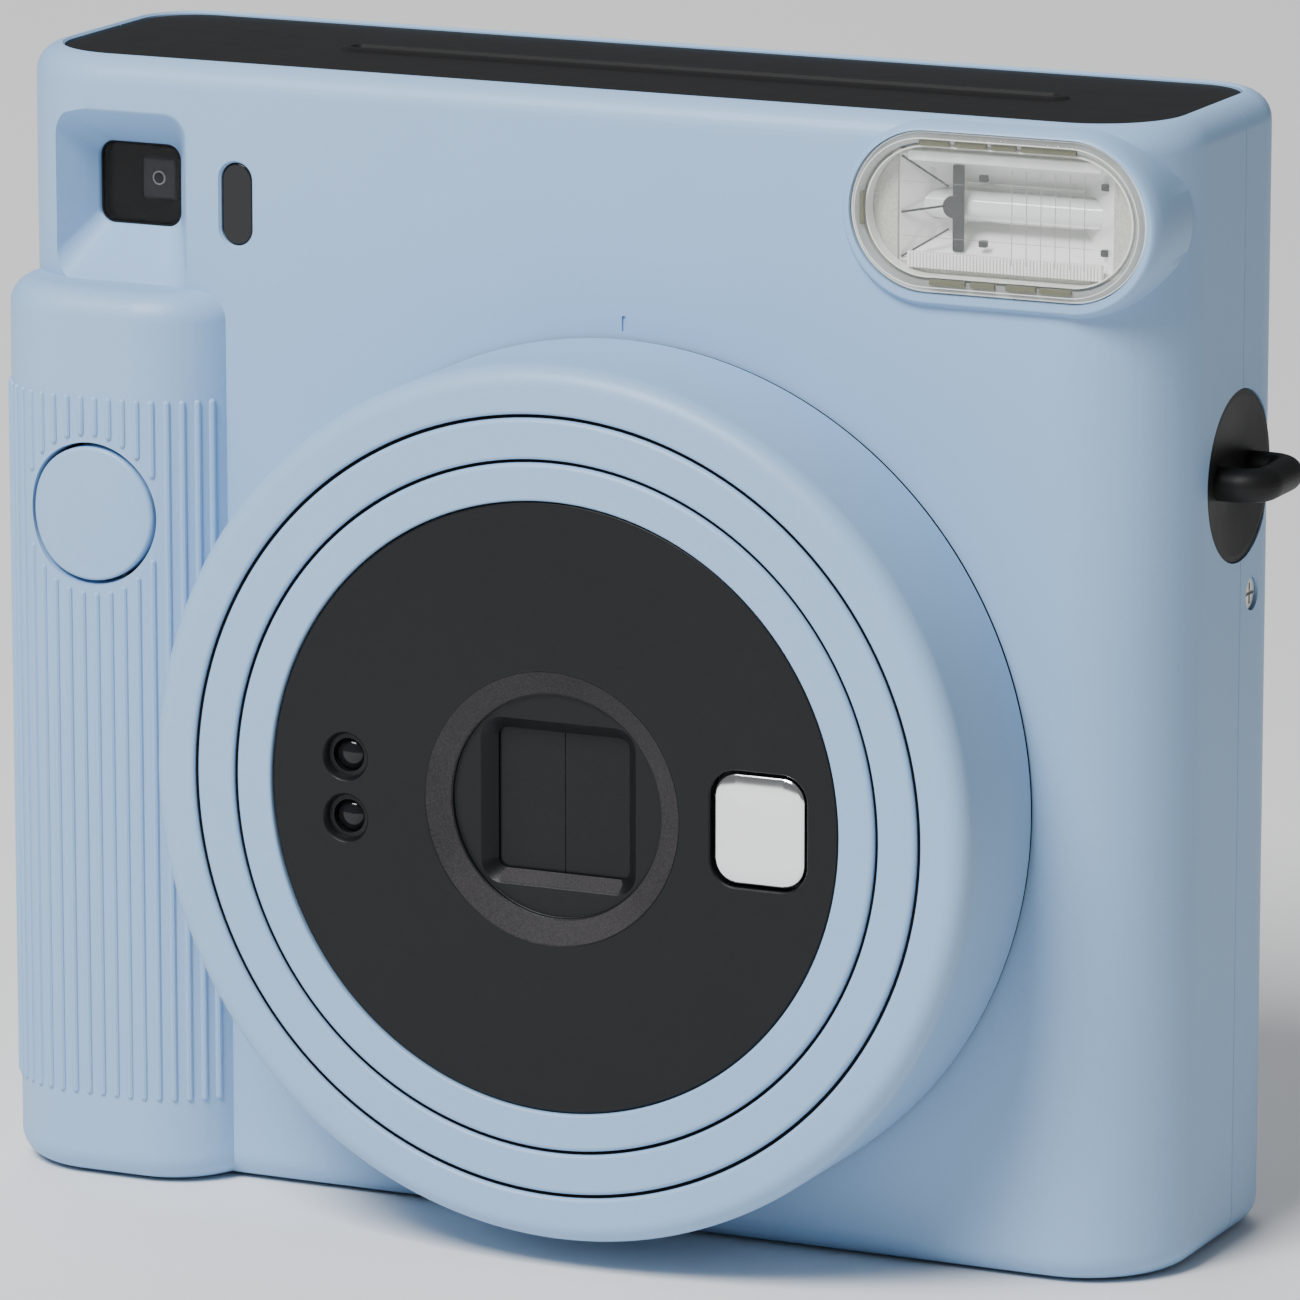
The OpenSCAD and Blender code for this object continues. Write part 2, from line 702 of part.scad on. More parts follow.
module shutter_plate() {
    color("#26272a") difference() {
        union() {
            on_lens_axis() ycyl(inner_r - barrel_wall - 0.1, plate_y, plate_y + plate_t);
            on_lens_axis() translate([pivot_x, 0, 0]) ycyl(pivot_r, plate_y, shutter_y + 1.2);
        }
        on_lens_axis() ycyl(cell_r + 0.05, plate_y - 1, plate_y + plate_t + 1);
    }
}

module shutter_blade() {
    color("#505256") on_lens_axis() difference() {
        union() {
            ycyl(5.8, shutter_y, shutter_y + shutter_t);
            translate([0, shutter_y, -2.5]) cube([pivot_x, shutter_t, 5]);
            translate([pivot_x, 0, 0]) ycyl(2.5, shutter_y, shutter_y + shutter_t);
        }
        translate([pivot_x, 0, 0]) ycyl(pivot_r + pin_fit, shutter_y - 1, shutter_y + 1);
    }
}

module shutter_magnet() {
    color("peru") on_lens_axis() translate([-20, plate_y + plate_t, -6]) difference() {
        cube([9, 7, 12]);
        translate([4.5, 8, -1]) cylinder(r = 2, h = 14);
    }
}

// ---- viewfinder, light sensor and flash ----

module viewfinder_window() {
    color("#3a3d44") upright_plate(finder_hole[0] + 0.1, finder_hole[1] + 0.1,
        finder_hole[2] - 0.1, finder_hole[3] - 0.1, 1.5,
        finder_window_y + 0.3, finder_window_y + 1.5);
}

module viewfinder_tunnel() {
    y0 = finder_window_y + wall;
    color("#1c1c1e") difference() {
        upright_plate(finder_hole[0] - 1.6, finder_hole[1] - 1.6, finder_hole[2] + 1.6,
            finder_hole[3] + 1.6, 2, y0, door_in_y - 1.2);
        upright_plate(finder_hole[0] - 0.4, finder_hole[1] - 0.4, finder_hole[2] + 0.4,
            finder_hole[3] + 0.4, 1, y0 - 1, door_in_y + 1);
    }
}

module viewfinder_eyepiece() {
    color("#1f2022") difference() {
        union() {
            upright_plate(finder_x - 7.4, finder_z - 6.4, finder_x + 7.4, finder_z + 6.4,
                3, rear_y, rear_y + 2.6);
            upright_plate(finder_hole[0] - 1.4, finder_hole[1] - 1.4, finder_hole[2] + 1.4,
                finder_hole[3] + 1.4, 1.9, door_in_y - 1, rear_y);
        }
        upright_plate(finder_x - 3.6, finder_z - 3, finder_x + 3.6, finder_z + 3,
            1.2, rear_y + 0.8, rear_y + 4);
        translate([finder_x, 0, finder_z]) ycyl(2.4, door_in_y - 3, rear_y - 0.6);
    }
}

module light_window() {
    color("#2a2b2e") translate([light_x, 0, light_z])
        stadium(light_w - 0.1, light_h - 0.1, front_y + 0.3, front_y + 2);
}

module flash_cover() {
    color([0.86, 0.88, 0.84, 0.5]) translate([flash_x, 0, flash_z]) difference() {
        stadium(flash_w, flash_h, front_y - flash_rise, front_y + 1.6);
        stadium(flash_w - 2 * flash_shell, flash_h - 2 * flash_shell,
            front_y - flash_rise + flash_shell, front_y + 3);
    }
}

module flash_reflector() {
    wall_t = 0.6;
    trough_r = reflector_h / 2 - wall_t;
    inner_w = flash_w - 2 * flash_shell - 0.3;
    inner_h = flash_h - 2 * flash_shell - 0.3;
    color("gainsboro") translate([flash_x, 0, flash_z]) difference() {
        intersection() {
            translate([-reflector_w / 2, front_y + 0.2, -reflector_h / 2])
                cube([reflector_w, flash_back_y - front_y - 0.2, reflector_h]);
            stadium(inner_w, inner_h, front_y, flash_back_y);
        }
        translate([0, front_y + 1.8, 0])
            xcyl(trough_r, -reflector_w / 2 + wall_t + 3, reflector_w / 2 - wall_t - 3);
        translate([-reflector_w / 2 + wall_t + 3, front_y - 1, -trough_r])
            cube([reflector_w - 2 * wall_t - 6, 2.8, 2 * trough_r]);
        translate([0, front_y + 5, 0]) xcyl(tube_r, -reflector_w, reflector_w);
    }
}

module flash_tube() {
    color("white") translate([flash_x, front_y + 5, flash_z]) xcyl(tube_r, -12.2, 12.2);
}

module flash_capacitor() {
    color("#26303c") translate([56.4, -7.4, 48]) {
        cylinder(r = 4.8, h = 34);
        for (s = [-1, 1]) translate([s * 1.6, 0, 34]) cylinder(r = 0.35, h = 3);
    }
}

module main_board() {
    color("darkgreen") difference() {
        translate([-29, -14.4, 95.6]) cube([54, 1.2, 16.4]);
        for (x = [-27, 23]) translate([x, 0, 109.5]) ycyl(1, -16, -12);
    }
    color("#202020") for (c = [[-22, 98, 9, 9], [-8, 98, 6, 4], [4, 99, 12, 6]])
        translate([c[0], -13.2, c[1]]) cube([c[2], 1.4, c[3]]);
}

// ---- release button ----

module shutter_button() {
    color("lightsteelblue") {
        intersection() {
            grip_solid();
            translate([button_x, 0, button_z]) ycyl(button_r, grip_y - 1, button_back_y);
        }
        translate([button_x, 0, button_z]) {
            ycyl(button_r - 1.2, button_back_y - eps, button_foot_y);
            translate([-2.5, button_back_y + 0.1, -9.4]) cube([5, 1.1, 18.8]);
            ycyl(1, button_foot_y - eps, switch_y - button_travel - 0.15);
        }
    }
}

module button_spring() {
    color("silver") translate([button_x, button_foot_y + 0.05, button_z])
        rotate([-90, 0, 0]) coil_spring(3, 0.25, switch_y - 1 - button_foot_y + 0.9, 3);
}

module button_switch() {
    color("#303236") translate([button_x, 0, button_z]) {
        difference() {
            translate([-6.5, switch_y, -6.5]) cube([13, 1.4, 13]);
            for (x = [-5, 5]) translate([x, 0, -5]) ycyl(0.8, switch_y - 1, switch_y + 3);
        }
        ycyl(1.6, switch_y + 1.4 - eps, switch_y + 2.4);
    }
}

// ---- film drive ----

module roller(y, phase, body_colour) {
    color(body_colour) translate([lens_x, y, roller_z]) {
        xcyl(roller_r, -roller_half, roller_half);
        xcyl(journal_r, -roller_half - 3, gear_x + gear_w - lens_x);
        x_gear(roller_teeth, phase, gear_x - lens_x, gear_w);
    }
}

module drive_roller() {
    roller(drive_y, 0, "dimgray");
}

module pressure_roller() {
    roller(press_y, press_phase, "silver");
}

module idler_gear() {
    color("ivory") translate([0, idler_y, idler_z]) difference() {
        x_gear(idler_teeth, idler_phase, gear_x, gear_w);
        xcyl(1 + pin_fit, gear_x - 1, gear_x + gear_w + 1);
    }
}

module motor_pinion() {
    color("goldenrod") translate([0, motor_y, motor_z]) difference() {
        x_gear(pinion_teeth, pinion_phase, gear_x, gear_w);
        xcyl(0.75 + pin_fit, gear_x - 1, gear_x + gear_w + 1);
    }
}

module film_motor() {
    color("silver") translate([0, motor_y, motor_z]) {
        xcyl(motor_r, bracket_x - motor_l - 0.1, bracket_x - 0.1);
        xcyl(2.1, bracket_x - 0.2, bracket_x + bracket_t);
        xcyl(0.75, bracket_x, gear_x + gear_w + 0.4);
    }
}

// ---- film door ----

module film_door() {
    color("lightsteelblue") difference() {
        union() {
            upright_plate(door_x0, door_z0, door_x1, door_z1, 4, door_in_y, door_out_y - 1.2);
            upright_plate(door_x0 + 0.8, door_z0 + 0.8, door_x1 - 0.8, door_z1 - 0.8, 3.5,
                door_out_y - 2, door_out_y);
            for (k = door_knuckles) translate([0, 0, k[0]]) {
                translate([door_hinge_x, door_hinge_y, 0])
                    cylinder(r = knuckle_r, h = k[1] - k[0]);
                translate([door_x1 - 2, door_hinge_y - 0.4, 0])
                    cube([door_hinge_x - door_x1 + 2, knuckle_r - 0.2, k[1] - k[0]]);
            }
        }
        for (k = door_knuckles) translate([door_hinge_x, door_hinge_y, k[0] - 1])
            cylinder(r = pin_r + pin_fit, h = k[1] - k[0] + 2);
        // Window on the film and the window of the counter
        upright_plate(window_x - window_w / 2, window_z - window_h / 2,
            window_x + window_w / 2, window_z + window_h / 2, 2.9, door_in_y - 1, door_out_y + 1);
        translate([counter_x, 0, counter_z]) {
            translate([0, 0, counter_eye_z])
                ycyl(counter_eye_r + 0.1, door_in_y - 1, door_out_y + 1);
            difference() {
                ycyl(counter_r + gap, door_in_y - 1, door_in_y + 2);
                ycyl(counter_pin_r, door_in_y, door_in_y + 3);
            }
        }
        // Shallow hollow that lightens the inside
        upright_plate(window_x + 5, door_z0 + 30, door_x1 - 14, door_z1 - 14, 3,
            door_in_y - 1, door_in_y + 2.6);
    }
}

module door_hinge_pin() {
    color("silver") translate([door_hinge_x, door_hinge_y, door_knuckles[0][0] - 8])
        cylinder(r = pin_r, h = door_knuckles[1][1] - door_knuckles[0][0] + 16);
}

module film_window() {
    color("#3b3326") upright_plate(window_x - window_w / 2 + 0.1, window_z - window_h / 2 + 0.1,
        window_x + window_w / 2 - 0.1, window_z + window_h / 2 - 0.1, 2.8,
        door_in_y + 2, door_out_y - 0.4);
}

module counter_window() {
    color("#d8dcdd") translate([counter_x, 0, counter_z + counter_eye_z])
        ycyl(counter_eye_r, door_in_y + 3, door_out_y - 0.4);
}

module counter_wheel() {
    color("white") translate([counter_x, 0, counter_z]) difference() {
        ycyl(counter_r, door_in_y + 0.2, door_in_y + 1.6);
        ycyl(counter_pin_r + pin_fit, door_in_y - 1, door_in_y + 3);
        for (a = [0:30:330]) rotate([0, a, 0])
            translate([counter_r - 0.9, door_in_y, -0.2]) cube([2, 2, 0.4]);
    }
}

// Two bent leaf springs that press on the back of the film pack
module pack_springs() {
    color("silver") for (z = [30, 66]) translate([lens_x + 12, 0, z]) {
        translate([-22, door_in_y - 0.4, 0]) cube([6, 0.4, 8]);
        translate([16, door_in_y - 0.4, 0]) cube([6, 0.4, 8]);
        translate([-16.2, door_in_y - 0.4, 0]) rotate([0, 0, -5]) cube([16.6, 0.4, 8]);
        translate([16.2, door_in_y, 0]) mirror([1, 0, 0]) translate([0, -0.4, 0])
            rotate([0, 0, -5]) cube([16.6, 0.4, 8]);
    }
}

// Foam strip round the doorway that keeps light out
module door_seal() {
    y0 = chassis_back_y + 0.05;
    color("#151515") difference() {
        translate([chamber_x0 - chassis_wall, y0, chamber_z0 - chassis_wall])
            cube([chamber_w + 2 * chassis_wall, door_in_y - y0 - 0.1,
                chamber_h + 2 * chassis_wall]);
        translate([chamber_x0 - 0.2, y0 - 1, chamber_z0 - 0.2])
            cube([chamber_w + 0.4, 4, chamber_h + 0.4]);
    }
}

module door_latch() {
    color("#28282a") translate([latch_x, 0, latch_z]) difference() {
        union() {
            translate([-latch_w / 2, door_in_y - 0.9, -latch_l / 2])
                cube([latch_w, wall + 2.6, latch_l]);
            translate([-latch_w / 2, door_in_y - 2.1, -latch_l / 2 - 2])
                cube([latch_w, 1.2 + eps, latch_l + 2]);
        }
        for (z = [-4:2:4]) translate([-latch_w, rear_y + 1.2, z - 0.3]) cube([2 * latch_w, 1, 0.6]);
    }
}

// Flat zigzag spring that pushes the latch down
module latch_spring() {
    bends = 8;
    t = 0.25;
    path = [for (i = [0:bends]) [(i % 2) * 2 - 1, latch_spring_l * i / bends]];
    color("silver") translate([latch_x, door_in_y - 1, latch_z + latch_l / 2 + 0.05])
        rotate([90, 0, 0]) linear_extrude(1) polygon(concat(
            [for (p = path) [p.x - t, p.y]],
            [for (i = [bends:-1:0]) [path[i].x + t, path[i].y]]));
}

// ---- battery bay ----

module battery_door() {
    color("lightsteelblue") difference() {
        union() {
            upright_plate(bay_x0, bay_z0, bay_x1, bay_z1, 1.5, door_in_y, rear_y + bay_door_rise);
            for (k = bay_knuckles) translate([0, 0, k[0]]) {
                translate([bay_hinge_x, bay_hinge_y, 0])
                    cylinder(r = bay_knuckle_r, h = k[1] - k[0]);
                translate([bay_hinge_x, bay_hinge_y, 0])
                    cube([bay_x0 - bay_hinge_x + 1, bay_knuckle_r - 0.2, k[1] - k[0]]);
            }
        }
        for (k = bay_knuckles) translate([bay_hinge_x, bay_hinge_y, k[0] - 1])
            cylinder(r = bay_pin_r + pin_fit, h = k[1] - k[0] + 2);
        for (z = [bay_z0 + 5:1.6:bay_z0 + 12]) translate([bay_x1 - 9, rear_y + 0.5, z])
            cube([6, 2, 0.8]);
    }
}

module battery_hinge_pin() {
    color("silver") translate([bay_hinge_x, bay_hinge_y, bay_knuckles[0][0] - 8])
        cylinder(r = bay_pin_r, h = bay_knuckles[1][1] - bay_knuckles[0][0] + 16);
}

// Open tray that holds the two cells one above the other
module battery_tray() {
    z0 = cell_z0 - 3;
    h = 2 * cell_l + cell_gap + 6;
    color("#26272a") difference() {
        translate([cell_x - cell_radius - 1.4, cell_y - cell_radius - 1.4, z0])
            cube([2 * cell_radius + 2.8, 15.4, h]);
        translate([cell_x, cell_y, z0 + 1.2]) cylinder(r = cell_radius + 0.2, h = h - 2.4);
        translate([cell_x - cell_radius - 0.2, cell_y, z0 + 1.2])
            cube([2 * cell_radius + 0.4, 20, h - 2.4]);
    }
}

module battery_cells() {
    color("#7a5a2e") for (i = [0, 1])
        translate([cell_x, cell_y, cell_z0 + i * (cell_l + cell_gap)]) {
            cylinder(r = cell_radius - 0.05, h = cell_l - 1);
            cylinder(r = 3, h = cell_l);
        }
}

module battery_contacts() {
    color("silver") {
        for (z = [cell_z0 - 1.7, cell_z0 + 2 * cell_l + cell_gap + 1.3])
            translate([cell_x - 5, cell_y - 5, z]) cube([10, 10, 0.4]);
        translate([cell_x, cell_y, cell_z0 - 1.3]) cylinder(r = 2.5, h = 1.2);
        translate([cell_x, cell_y, cell_z0 + 2 * cell_l + cell_gap + 0.1])
            cylinder(r = 2.5, h = 1.2);
    }
}

front_cover();
rear_cover();
top_panel();
strap_lug(1);  // strap_lug_right
strap_lug(-1);  // strap_lug_left
cover_screws();
chassis();
chassis_screws();
light_tunnel();
lens_ring();
ring_retainer();
middle_barrel();
inner_barrel();
lens_face();
selfie_mirror();
sensor_lenses();
barrier(-1);  // barrier_left
barrier(1);  // barrier_right
lens_cell();
front_lens();
rear_lens();
shutter_plate();
shutter_blade();
shutter_magnet();
viewfinder_window();
viewfinder_tunnel();
viewfinder_eyepiece();
light_window();
flash_cover();
flash_reflector();
flash_tube();
flash_capacitor();
main_board();
shutter_button();
button_spring();
button_switch();
drive_roller();
pressure_roller();
idler_gear();
motor_pinion();
film_motor();
film_door();
door_hinge_pin();
film_window();
counter_window();
counter_wheel();
pack_springs();
door_seal();
door_latch();
latch_spring();
battery_door();
battery_hinge_pin();
battery_tray();
battery_cells();
battery_contacts();
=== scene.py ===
import json
from math import asin, cos, pi, radians, sin, sqrt, tan

import bpy
import bmesh
from mathutils import Matrix, Vector


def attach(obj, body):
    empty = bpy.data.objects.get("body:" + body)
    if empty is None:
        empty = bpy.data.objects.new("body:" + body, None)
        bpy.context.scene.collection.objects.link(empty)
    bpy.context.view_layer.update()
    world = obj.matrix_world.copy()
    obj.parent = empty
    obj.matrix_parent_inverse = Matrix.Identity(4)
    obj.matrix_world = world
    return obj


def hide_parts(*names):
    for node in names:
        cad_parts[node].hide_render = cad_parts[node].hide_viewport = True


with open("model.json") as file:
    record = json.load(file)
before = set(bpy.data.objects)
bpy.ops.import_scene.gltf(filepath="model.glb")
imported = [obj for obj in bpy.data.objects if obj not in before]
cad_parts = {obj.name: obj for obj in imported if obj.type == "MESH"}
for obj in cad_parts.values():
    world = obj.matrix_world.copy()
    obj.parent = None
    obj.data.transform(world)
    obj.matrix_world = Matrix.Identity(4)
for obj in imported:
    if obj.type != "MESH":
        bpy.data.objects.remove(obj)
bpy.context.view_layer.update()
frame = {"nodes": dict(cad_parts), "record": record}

nodes = frame["nodes"]

# ---- Front cover ----
# Half of the body shell, one moulding in pale blue plastic with a fine spark-eroded grain.
# It carries the grip, the mound under the flash and the funnel of the viewfinder, and it
# meets the rear cover on a hairline all round the side walls, base and top.
MM = 0.001
side_x = 65.35
front_y = -18.25
rear_y = 18.25
body_h = 118.6
parting_y = 3.85
edge_r = 3
wall = 2
lens_x, lens_z = 6.7, 48.4


def piece(name, points, faces):
    """A closed mesh from points in millimetres."""
    mesh = bpy.data.meshes.new(name)
    mesh.from_pydata([Vector(p) * MM for p in points], [], faces)
    work = bmesh.new()
    work.from_mesh(mesh)
    bmesh.ops.remove_doubles(work, verts=work.verts, dist=1e-8)
    bmesh.ops.recalc_face_normals(work, faces=work.faces)
    work.to_mesh(mesh)
    work.free()
    obj = bpy.data.objects.new(name, mesh)
    bpy.context.scene.collection.objects.link(obj)
    return obj


def loft(name, rings):
    """A solid through closed rings of points, capped at both ends."""
    n = len(rings[0])
    points = [p for ring in rings for p in ring]
    last = (len(rings) - 1) * n
    faces = [(r * n + i, r * n + (i + 1) % n, (r + 1) * n + (i + 1) % n, (r + 1) * n + i)
             for r in range(len(rings) - 1) for i in range(n)]
    faces.append(tuple(range(n - 1, -1, -1)))
    faces.append(tuple(range(last, last + n)))
    return piece(name, points, faces)


def arc(x, y, r, start, end, steps):
    """Points on an arc from one angle to the other, in degrees."""
    angles = [radians(start + (end - start) * i / steps) for i in range(steps + 1)]
    return [(x + r * cos(a), y + r * sin(a)) for a in angles]


def body_outline(inset):
    """Plan of the body, with wider corners in front than behind."""
    return (arc(-side_x + 12, front_y + 12, 12 - inset, 180, 270, 16)
            + arc(side_x - 12, front_y + 12, 12 - inset, 270, 360, 16)
            + arc(side_x - 9, rear_y - 9, 9 - inset, 0, 90, 14)
            + arc(-side_x + 9, rear_y - 9, 9 - inset, 90, 180, 14))


def edge_steps(z0, z1, e):
    """Pairs of inset and height that round the lower and the upper edge."""
    steps = 7
    turns = [pi / 2 * i / steps for i in range(steps + 1)]
    return ([(e - e * sin(a), z0 + e - e * cos(a)) for a in turns]
            + [(e - e * cos(a), z1 - e + e * sin(a)) for a in turns])


def upright(name, outline, steps):
    """A solid with an outline that changes its inset with the height."""
    return loft(name, [[(x, y, z) for x, y in outline(inset)] for inset, z in steps])


def combine(obj, tools, operation="DIFFERENCE"):
    """Cuts the tools out of obj, or joins them to it, and removes the tools."""
    for tool in tools:
        step = obj.modifiers.new(tool.name, "BOOLEAN")
        step.solver = "MANIFOLD"
        step.operation = operation
        step.object = tool
    bpy.context.view_layer.update()
    result = obj.evaluated_get(bpy.context.evaluated_depsgraph_get())
    mesh = bpy.data.meshes.new_from_object(result)
    obj.modifiers.clear()
    old = obj.data
    obj.data = mesh
    bpy.data.meshes.remove(old)
    for tool in tools:
        bpy.data.meshes.remove(tool.data)
    return obj


def block(x0, y0, z0, x1, y1, z1):
    """A plain cutting block."""
    return loft("block", [[(x0, y0, z), (x1, y0, z), (x1, y1, z), (x0, y1, z)] for z in (z0, z1)])


def frame_outline(x0, z0, x1, z1, r, grow, steps):
    """Rounded rectangle in the upright plane, made larger by grow."""
    r = max(r + grow, 0.02)
    return (arc(x0 - grow + r, z0 - grow + r, r, 180, 270, steps)
            + arc(x1 + grow - r, z0 - grow + r, r, 270, 360, steps)
            + arc(x1 + grow - r, z1 + grow - r, r, 0, 90, steps)
            + arc(x0 - grow + r, z1 + grow - r, r, 90, 180, steps))


def slab(name, x0, z0, x1, z1, r, levels, steps=10):
    """Upright plate, where each level is a depth and how far the outline has grown."""
    return loft(name, [[(x, y, z) for x, z in frame_outline(x0, z0, x1, z1, r, grow, steps)]
                       for y, grow in levels])


def soft_front(y0, y1, e):
    """Levels of a plate with a rounded front edge."""
    turns = [pi / 8 * i for i in range(5)]
    return [(y0 + e - e * cos(a), -e + e * sin(a)) for a in turns] + [(y1, 0)]


def rod_y(x, z, r, steps, levels):
    """Round bar along the depth, with levels like a slab's."""
    return slab("rod", x - r, z - r, x + r, z + r, r, levels, steps)


def rod_x(y, z, r, x0, x1, n=72):
    """Round bar across the width."""
    ring = [(r * cos(2 * pi * i / n), r * sin(2 * pi * i / n)) for i in range(n)]
    return loft("rod", [[(x, y + a, z + b) for a, b in ring] for x in (x0, x1)])


def rod_z(x, y, r, z0, z1):
    """Upright round bar."""
    n = 32
    ring = [(r * cos(2 * pi * i / n), r * sin(2 * pi * i / n)) for i in range(n)]
    return loft("rod", [[(x + a, y + b, z) for a, b in ring] for z in (z0, z1)])


def joined(name, objs):
    """One object from several that don't touch."""
    work = bmesh.new()
    for o in objs:
        work.from_mesh(o.data)
        bpy.data.meshes.remove(o.data)
    mesh = bpy.data.meshes.new(name)
    work.to_mesh(mesh)
    work.free()
    obj = bpy.data.objects.new(name, mesh)
    bpy.context.scene.collection.objects.link(obj)
    return obj


def shade(obj, material, angle):
    """Smooth surfaces with crisp edges, and the flat faces kept flat."""
    mesh = obj.data
    mesh.materials.clear()
    mesh.materials.append(material)
    mesh.shade_smooth()
    mesh.set_sharp_from_angle(angle=radians(angle))
    flat = obj.modifiers.new("Flat faces", "WEIGHTED_NORMAL")
    flat.keep_sharp = True
    flat.weight = 100
    return obj


def finish_piece(obj, material, body, replaced=(), angle=32):
    """Gives a piece its material and its body, and hides the CAD parts that it replaces."""
    shade(obj, material, angle)
    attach(obj, body)
    if replaced:
        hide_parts(*replaced)
    return obj


def moulded_plastic(name, colour, roughness, grain_size, depth, specular=0.5, speckle=0.03):
    """Grained plastic: fine pits, a slight cloud in the colour and an uneven sheen."""
    made = bpy.data.materials.new(name)
    made.use_nodes = True
    tree = made.node_tree
    shader = tree.nodes["Principled BSDF"]
    shader.inputs["Specular IOR Level"].default_value = specular
    place = tree.nodes.new("ShaderNodeTexCoord")

    def noise(size, detail):
        node = tree.nodes.new("ShaderNodeTexNoise")
        node.inputs["Scale"].default_value = 1 / (size * MM)
        node.inputs["Detail"].default_value = detail
        tree.links.new(place.outputs["Object"], node.inputs["Vector"])
        return node.outputs["Fac"]

    def between(source, low, high):
        node = tree.nodes.new("ShaderNodeMapRange")
        node.inputs["From Min"].default_value = 0.3
        node.inputs["From Max"].default_value = 0.7
        node.inputs["To Min"].default_value = low
        node.inputs["To Max"].default_value = high
        tree.links.new(source, node.inputs["Value"])
        return node.outputs["Result"]

    grain = noise(grain_size, 2)
    tint = tree.nodes.new("ShaderNodeMix")
    tint.data_type = "RGBA"
    tint.inputs[6].default_value = (*[c * (1 - speckle) for c in colour], 1)
    tint.inputs[7].default_value = (*[min(1, c * (1 + speckle)) for c in colour], 1)
    mixed = tree.nodes.new("ShaderNodeMath")
    mixed.operation = "MULTIPLY_ADD"
    mixed.inputs[1].default_value = 0.6
    tree.links.new(between(grain, 0, 1), mixed.inputs[0])
    tree.links.new(between(noise(14, 3), 0, 0.4), mixed.inputs[2])
    tree.links.new(mixed.outputs[0], tint.inputs[0])
    tree.links.new(tint.outputs[2], shader.inputs["Base Color"])
    tree.links.new(between(noise(3, 3), roughness - 0.015, roughness + 0.015),
                   shader.inputs["Roughness"])
    bump = tree.nodes.new("ShaderNodeBump")
    bump.inputs["Strength"].default_value = 0.6
    bump.inputs["Distance"].default_value = depth * MM
    tree.links.new(grain, bump.inputs["Height"])
    tree.links.new(bump.outputs["Normal"], shader.inputs["Normal"])
    return made


pale_blue = moulded_plastic("Pale blue plastic", (0.30, 0.48, 0.72), 0.46, 0.32, 0.022)
black_grain = moulded_plastic("Black grained plastic", (0.0095, 0.0095, 0.01), 0.5, 0.3, 0.03,
                              specular=0.25, speckle=0.05)

body = upright("front_cover_shell", body_outline, edge_steps(0, body_h, edge_r))
combine(body, [block(-70, -30, -5, 70, parting_y - 0.05, 125)], "INTERSECT")

# Viewfinder funnel, with wide slanted walls on the left and below
finder_mouth = (-59.9, 94.4, -43.3, 112.9)
finder_hole = (-56.6, 100.1, -47.1, 108.8)
finder_y = front_y + 6.5


def finder_ring(t, y, grow):
    """Outline of the funnel between its mouth at 0 and its window at 1."""
    sides = [a + (b - a) * t for a, b in zip(finder_mouth, finder_hole)]
    return [(x, y, z) for x, z in frame_outline(*sides, 2.4 - 0.8 * t, grow, 10)]


funnel = loft("funnel", [finder_ring(0, front_y - 1, 0.9), finder_ring(0, front_y, 0.38),
                         finder_ring(0, front_y + 0.16, 0.12), finder_ring(0.06, front_y + 0.5, 0),
                         finder_ring(0.96, finder_y - 0.3, 0), finder_ring(1, finder_y, 0),
                         finder_ring(1, finder_y + wall + 1, 0)])
combine(body, [funnel])

# Grip: a block with round upright corners in front of the outer edge
grip_y = front_y - 5.5
grip_top = 95
outer_x, outer_r = -54.65, 10.7
inner_x, inner_r = -47.6, 10


def grip_outline(inset):
    """Plan of the grip from the side wall round to the crease."""
    return ([(-side_x + 4, front_y + 12.2), (-side_x + inset, front_y + 11.98)]
            + arc(outer_x, grip_y + outer_r, outer_r - inset, 180, 270, 20)
            + arc(inner_x, grip_y + inner_r, inner_r - inset, 270, 352, 20)
            + [(inner_x + 6, front_y + 12.2)])


def grip_surface(s):
    """Point on the grip and its outward direction, s from the crease along the surface."""
    crease = asin((front_y - grip_y - inner_r) / inner_r)
    first = (crease + pi / 2) * inner_r
    flat = inner_x - outer_x
    if s < first:
        a = crease - s / inner_r
        centre = (inner_x, grip_y + inner_r, inner_r)
    elif s < first + flat:
        return (inner_x - (s - first), grip_y), (0, -1)
    elif s < first + flat + outer_r * pi / 2:
        a = -pi / 2 - (s - first - flat) / outer_r
        centre = (outer_x, grip_y + outer_r, outer_r)
    else:
        return (-side_x, grip_y + outer_r + s - first - flat - outer_r * pi / 2), (-1, 0)
    x, y, r = centre
    return (x + r * cos(a), y + r * sin(a)), (cos(a), sin(a))


# Ribs of the grip, half-round beads that stop short of the release button
rib_r = 0.4
rib_pitch = 1.62
rib_z0, rib_z1 = 9, 84
button_x, button_z, button_r = -51.9, 71.5, 7.1
clear_r = button_r + 1.15


def bead(x, y, z0, z1):
    """Upright bead with round ends."""
    n = 10
    rise = [(cos(radians(a)), sin(radians(a))) for a in (-80, -55, -28, 0)]
    rings = [(rib_r * c, z0 + rib_r + rib_r * s) for c, s in rise]
    rings += [(rib_r * c, z1 - rib_r - rib_r * s) for c, s in reversed(rise)]
    return loft("bead", [[(x + r * cos(2 * pi * i / n), y + r * sin(2 * pi * i / n), z)
                          for i in range(n)] for r, z in rings])


